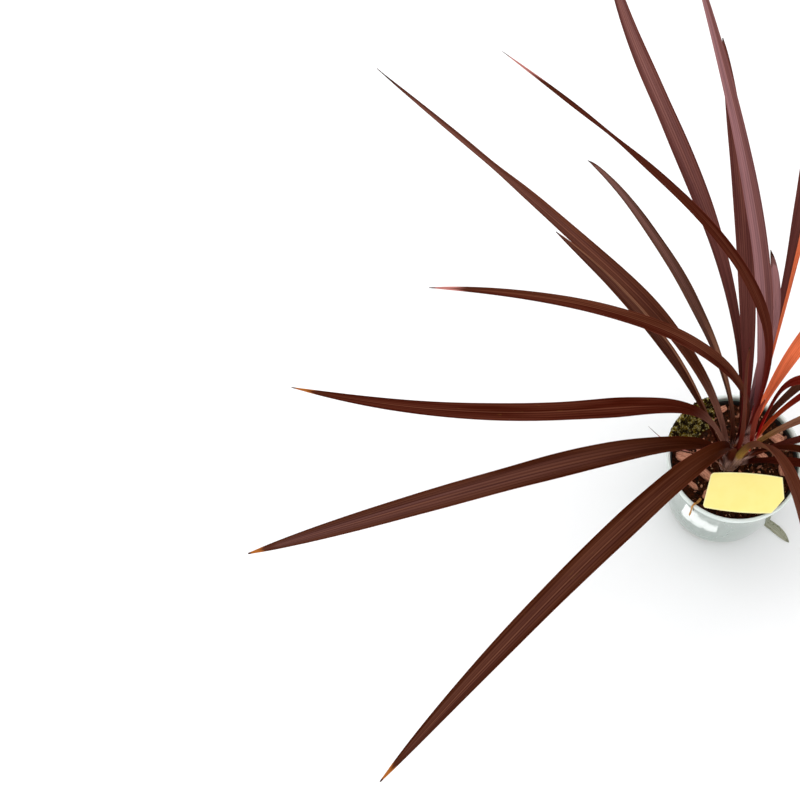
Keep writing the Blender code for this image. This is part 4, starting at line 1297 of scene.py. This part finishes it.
def dry_finish(name, light, middle, dark):
    """Dead leaf with darker streaks along it and spots."""
    f = Finish(name, light, Specular_IOR_Level=0.25)
    across, along, _ = f.notes()
    streaks = f.grain(across * 5.0, along * 1.4, 3.0, 4.0, 0.65)
    f.lay(middle, 1.0, streaks, 0.35, 0.65)
    f.lay(dark, 0.7, f.noise(f.place(), 0.45, 3.0, 0.6), 0.52, 0.70)
    return f.done(0.66 + streaks * 0.25, f.bump(streaks, 0.35, 0.8))


def build_dry_blade():
    """Thin dead blade that has rolled in at its sides."""
    route = [Vector(point) for point in spline(dry_route(), 4)]
    across = around(DRY_AZIMUTH + 90, 1, 0)
    rows = len(route) - 1
    columns = 6

    def line(t):
        i = round(t * rows)
        along = (route[min(rows, i + 1)] - route[max(0, i - 1)]).normalized()
        out = around(DRY_AZIMUTH, -along.y, along.x)
        half = DRY_WIDTH / 2 * (1 - 0.35 * t) * (1 + 0.12 * math.sin(23 * t))
        place = around(DRY_AZIMUTH, *route[i]) + across * (0.35 * math.sin(9 * t))

        def cross(s):
            spot = place + across * (half * s)
            return spot + out * (0.30 * s * s + 0.18), spot + out * (0.50 * s * s - 0.30), (s, t, 0.0)

        return cross

    verts, notes = sheet(rows, columns, line)
    finish = dry_finish("dry_blade_skin", tint(206, 158, 88), tint(176, 118, 58), tint(112, 66, 34))
    add_piece("fine_dry_blade", verts, sheet_faces(rows, columns), finish, "dry_blade", 60,
              notes)


def build_withered_leaf():
    """Faded leaf tip on the table, with ribs and a rim that has curled up a little."""
    start = around(*WITHERED_START, 0)
    end = around(*WITHERED_END, 0)
    along = (end - start).normalized()
    across = Vector((-along.y, along.x, 0))
    rows = 60
    columns = 24

    def line(t):
        half = max(0.3, WITHERED_WIDTH / 2 * (0.62 + 0.5 * t) * (1 - t ** 3) ** 0.8)
        half *= 1 + 0.05 * rough(t * 11, 4.0, 0.0)
        place = start.lerp(end, t) + across * (WITHERED_BOW * math.sin(math.pi * t))

        def cross(s):
            ridge = WITHERED_RIDGE * math.sin(math.pi * t) * (1 - abs(s)) + 0.12 * math.cos(9 * math.pi * s)
            low = 0.12 + 0.35 * abs(s) ** 3 * (1 + rough(t * 6, s, 1.0))
            spot = place + across * (half * s) + Vector((0, 0, low))
            return spot + Vector((0, 0, WITHERED_THICKNESS + ridge)), spot, (s, t, 0.0)

        return cross

    verts, notes = sheet(rows, columns, line)
    finish = dry_finish("withered_leaf_skin", tint(178, 176, 156), tint(142, 142, 120), tint(96, 98, 76))
    add_piece("fine_withered_leaf", verts, sheet_faces(rows, columns), finish, "withered_leaf",
              70, notes)


def floor_finish(looks):
    f = Finish("floor_paper", looks.floor, Specular_IOR_Level=0.1)
    grain = f.noise(f.place(), 0.02)
    f.cover(grain * 0.03, tint(248, 248, 246))
    return f.done(0.75 + grain * 0.1)


def area_light(name, power, size, place, target):
    data = bpy.data.lights.new(name, "AREA")
    data.energy = power
    data.shape = "RECTANGLE"
    data.size, data.size_y = size
    light = bpy.data.objects.new(name, data)
    light.location = place
    light.rotation_euler = (Vector(target) - Vector(place)).to_track_quat("-Z", "Y").to_euler()
    light.visible_camera = False
    bpy.context.scene.collection.objects.link(light)
    return light


def build_stage(looks):
    """Floor, lights and camera."""
    scene = bpy.context.scene
    mesh = bpy.data.meshes.new("floor")
    corners = [(-1, -1), (1, -1), (1, 1), (-1, 1)]
    mesh.from_pydata([(x * FLOOR_REACH, y * FLOOR_REACH, 0) for x, y in corners], [], [(0, 1, 2, 3)])
    mesh.materials.append(floor_finish(looks))
    floor = bpy.data.objects.new("floor", mesh)
    scene.collection.objects.link(floor)
    world = bpy.data.worlds.new("studio")
    world.use_nodes = True
    world.node_tree.nodes["Background"].inputs["Color"].default_value = SKY_COLOUR
    world.node_tree.nodes["Background"].inputs["Strength"].default_value = looks.sky
    scene.world = world
    scene.view_settings.view_transform = "Standard"
    area_light("key", looks.key, KEY_SIZE, KEY_PLACE, LIGHT_TARGET)
    area_light("fill", looks.key * FILL_SHARE, FILL_SIZE, FILL_PLACE, LIGHT_TARGET)
    for azimuth in WINDOW_AZIMUTHS:
        place = around(azimuth, WINDOW_REACH, WINDOW_HEIGHT) * MM
        pane = area_light("window", looks.window, WINDOW_PANE, place, place + Vector((0.0, 0.0, 1.0)))
        pane.rotation_euler = (math.pi, 0.0, math.radians(azimuth + 90.0))
        pane.visible_diffuse = False
    data = bpy.data.cameras.new("camera")
    data.lens = looks.lens
    data.sensor_width = SENSOR_WIDTH
    data.clip_end = VIEW_END
    camera = bpy.data.objects.new("camera", data)
    camera.location = CAMERA_PLACE
    camera.rotation_euler = (math.radians(CAMERA_TILT), 0.0, 0.0)
    scene.collection.objects.link(camera)
    scene.camera = camera


class CORDYLINE_OT_stage(bpy.types.Operator):
    """Make the floor, the lights and the camera"""
    bl_idname = "cordyline.stage"
    bl_label = "Stage"

    def execute(self, context):
        build_stage(context.scene.cordyline_stage)
        return {"FINISHED"}


class CORDYLINE_OT_pot(bpy.types.Operator):
    """Make the glazed pot and the black inner pot's rim"""
    bl_idname = "cordyline.pot"
    bl_label = "Pot"

    def execute(self, context):
        build_pot(context.scene.cordyline_pot)
        build_liner()
        return {"FINISHED"}


class CORDYLINE_OT_soil(bpy.types.Operator):
    """Make the soil and its crumbs"""
    bl_idname = "cordyline.soil"
    bl_label = "Soil"

    def execute(self, context):
        build_soil(context.scene.cordyline_ground)
        build_crumbs(context.scene.cordyline_ground)
        return {"FINISHED"}


class CORDYLINE_OT_moss(bpy.types.Operator):
    """Make the moss cushion and its shoots"""
    bl_idname = "cordyline.moss"
    bl_label = "Moss"

    def execute(self, context):
        build_moss(context.scene.cordyline_ground)
        return {"FINISHED"}


class CORDYLINE_OT_chips(bpy.types.Operator):
    """Make the bark chips"""
    bl_idname = "cordyline.chips"
    bl_label = "Bark chips"

    def execute(self, context):
        for number, chip in enumerate(CHIPS):
            build_chip(number, *chip, context.scene.cordyline_ground)
        return {"FINISHED"}


class CORDYLINE_OT_trunk(bpy.types.Operator):
    """Make the trunk and the old leaf bases round it"""
    bl_idname = "cordyline.trunk"
    bl_label = "Trunk"

    def execute(self, context):
        build_trunk(context.scene.cordyline_plant)
        build_sheaths()
        return {"FINISHED"}


class CORDYLINE_OT_leaves(bpy.types.Operator):
    """Make the leaves"""
    bl_idname = "cordyline.leaves"
    bl_label = "Leaves"

    def execute(self, context):
        for seed, row in enumerate(LEAVES, 1):
            build_leaf(seed, row, context.scene.cordyline_plant)
        return {"FINISHED"}


class CORDYLINE_OT_label(bpy.types.Operator):
    """Make the bare plant label"""
    bl_idname = "cordyline.label"
    bl_label = "Label"

    def execute(self, context):
        build_label(context.scene.cordyline_label)
        return {"FINISHED"}


class CORDYLINE_OT_dead_leaves(bpy.types.Operator):
    """Make the dry blade over the rim and the withered leaf on the table"""
    bl_idname = "cordyline.dead_leaves"
    bl_label = "Dead leaves"

    def execute(self, context):
        build_dry_blade()
        build_withered_leaf()
        return {"FINISHED"}


OPERATORS = (CORDYLINE_OT_stage, CORDYLINE_OT_pot, CORDYLINE_OT_soil, CORDYLINE_OT_moss, CORDYLINE_OT_chips,
             CORDYLINE_OT_trunk, CORDYLINE_OT_leaves, CORDYLINE_OT_label, CORDYLINE_OT_dead_leaves)
LOOKS = {"cordyline_stage": StageLooks, "cordyline_pot": PotLooks, "cordyline_ground": GroundLooks,
         "cordyline_plant": PlantLooks, "cordyline_label": LabelLooks}


class CORDYLINE_PT_looks(bpy.types.Panel):
    """Sizes and colours of the potted cordyline"""
    bl_label = "Potted cordyline"
    bl_idname = "CORDYLINE_PT_looks"
    bl_space_type = "VIEW_3D"
    bl_region_type = "UI"
    bl_category = "Cordyline"

    def draw(self, context):
        for key, group in LOOKS.items():
            box = self.layout.box()
            for prop in group.__annotations__:
                box.prop(getattr(context.scene, key), prop)
        for operator in OPERATORS:
            self.layout.operator(operator.bl_idname)


CLASSES = (*LOOKS.values(), *OPERATORS, CORDYLINE_PT_looks)


def register():
    for cls in CLASSES:
        bpy.utils.register_class(cls)
    for key, group in LOOKS.items():
        setattr(bpy.types.Scene, key, PointerProperty(type=group))


def unregister():
    for key in LOOKS:
        delattr(bpy.types.Scene, key)
    for cls in reversed(CLASSES):
        bpy.utils.unregister_class(cls)


def main():
    register()
    bpy.ops.cordyline.stage()
    bpy.ops.cordyline.pot()
    bpy.ops.cordyline.soil()
    bpy.ops.cordyline.moss()
    bpy.ops.cordyline.chips()
    bpy.ops.cordyline.trunk()
    bpy.ops.cordyline.leaves()
    bpy.ops.cordyline.label()
    bpy.ops.cordyline.dead_leaves()


if __name__ == "__main__":
    main()
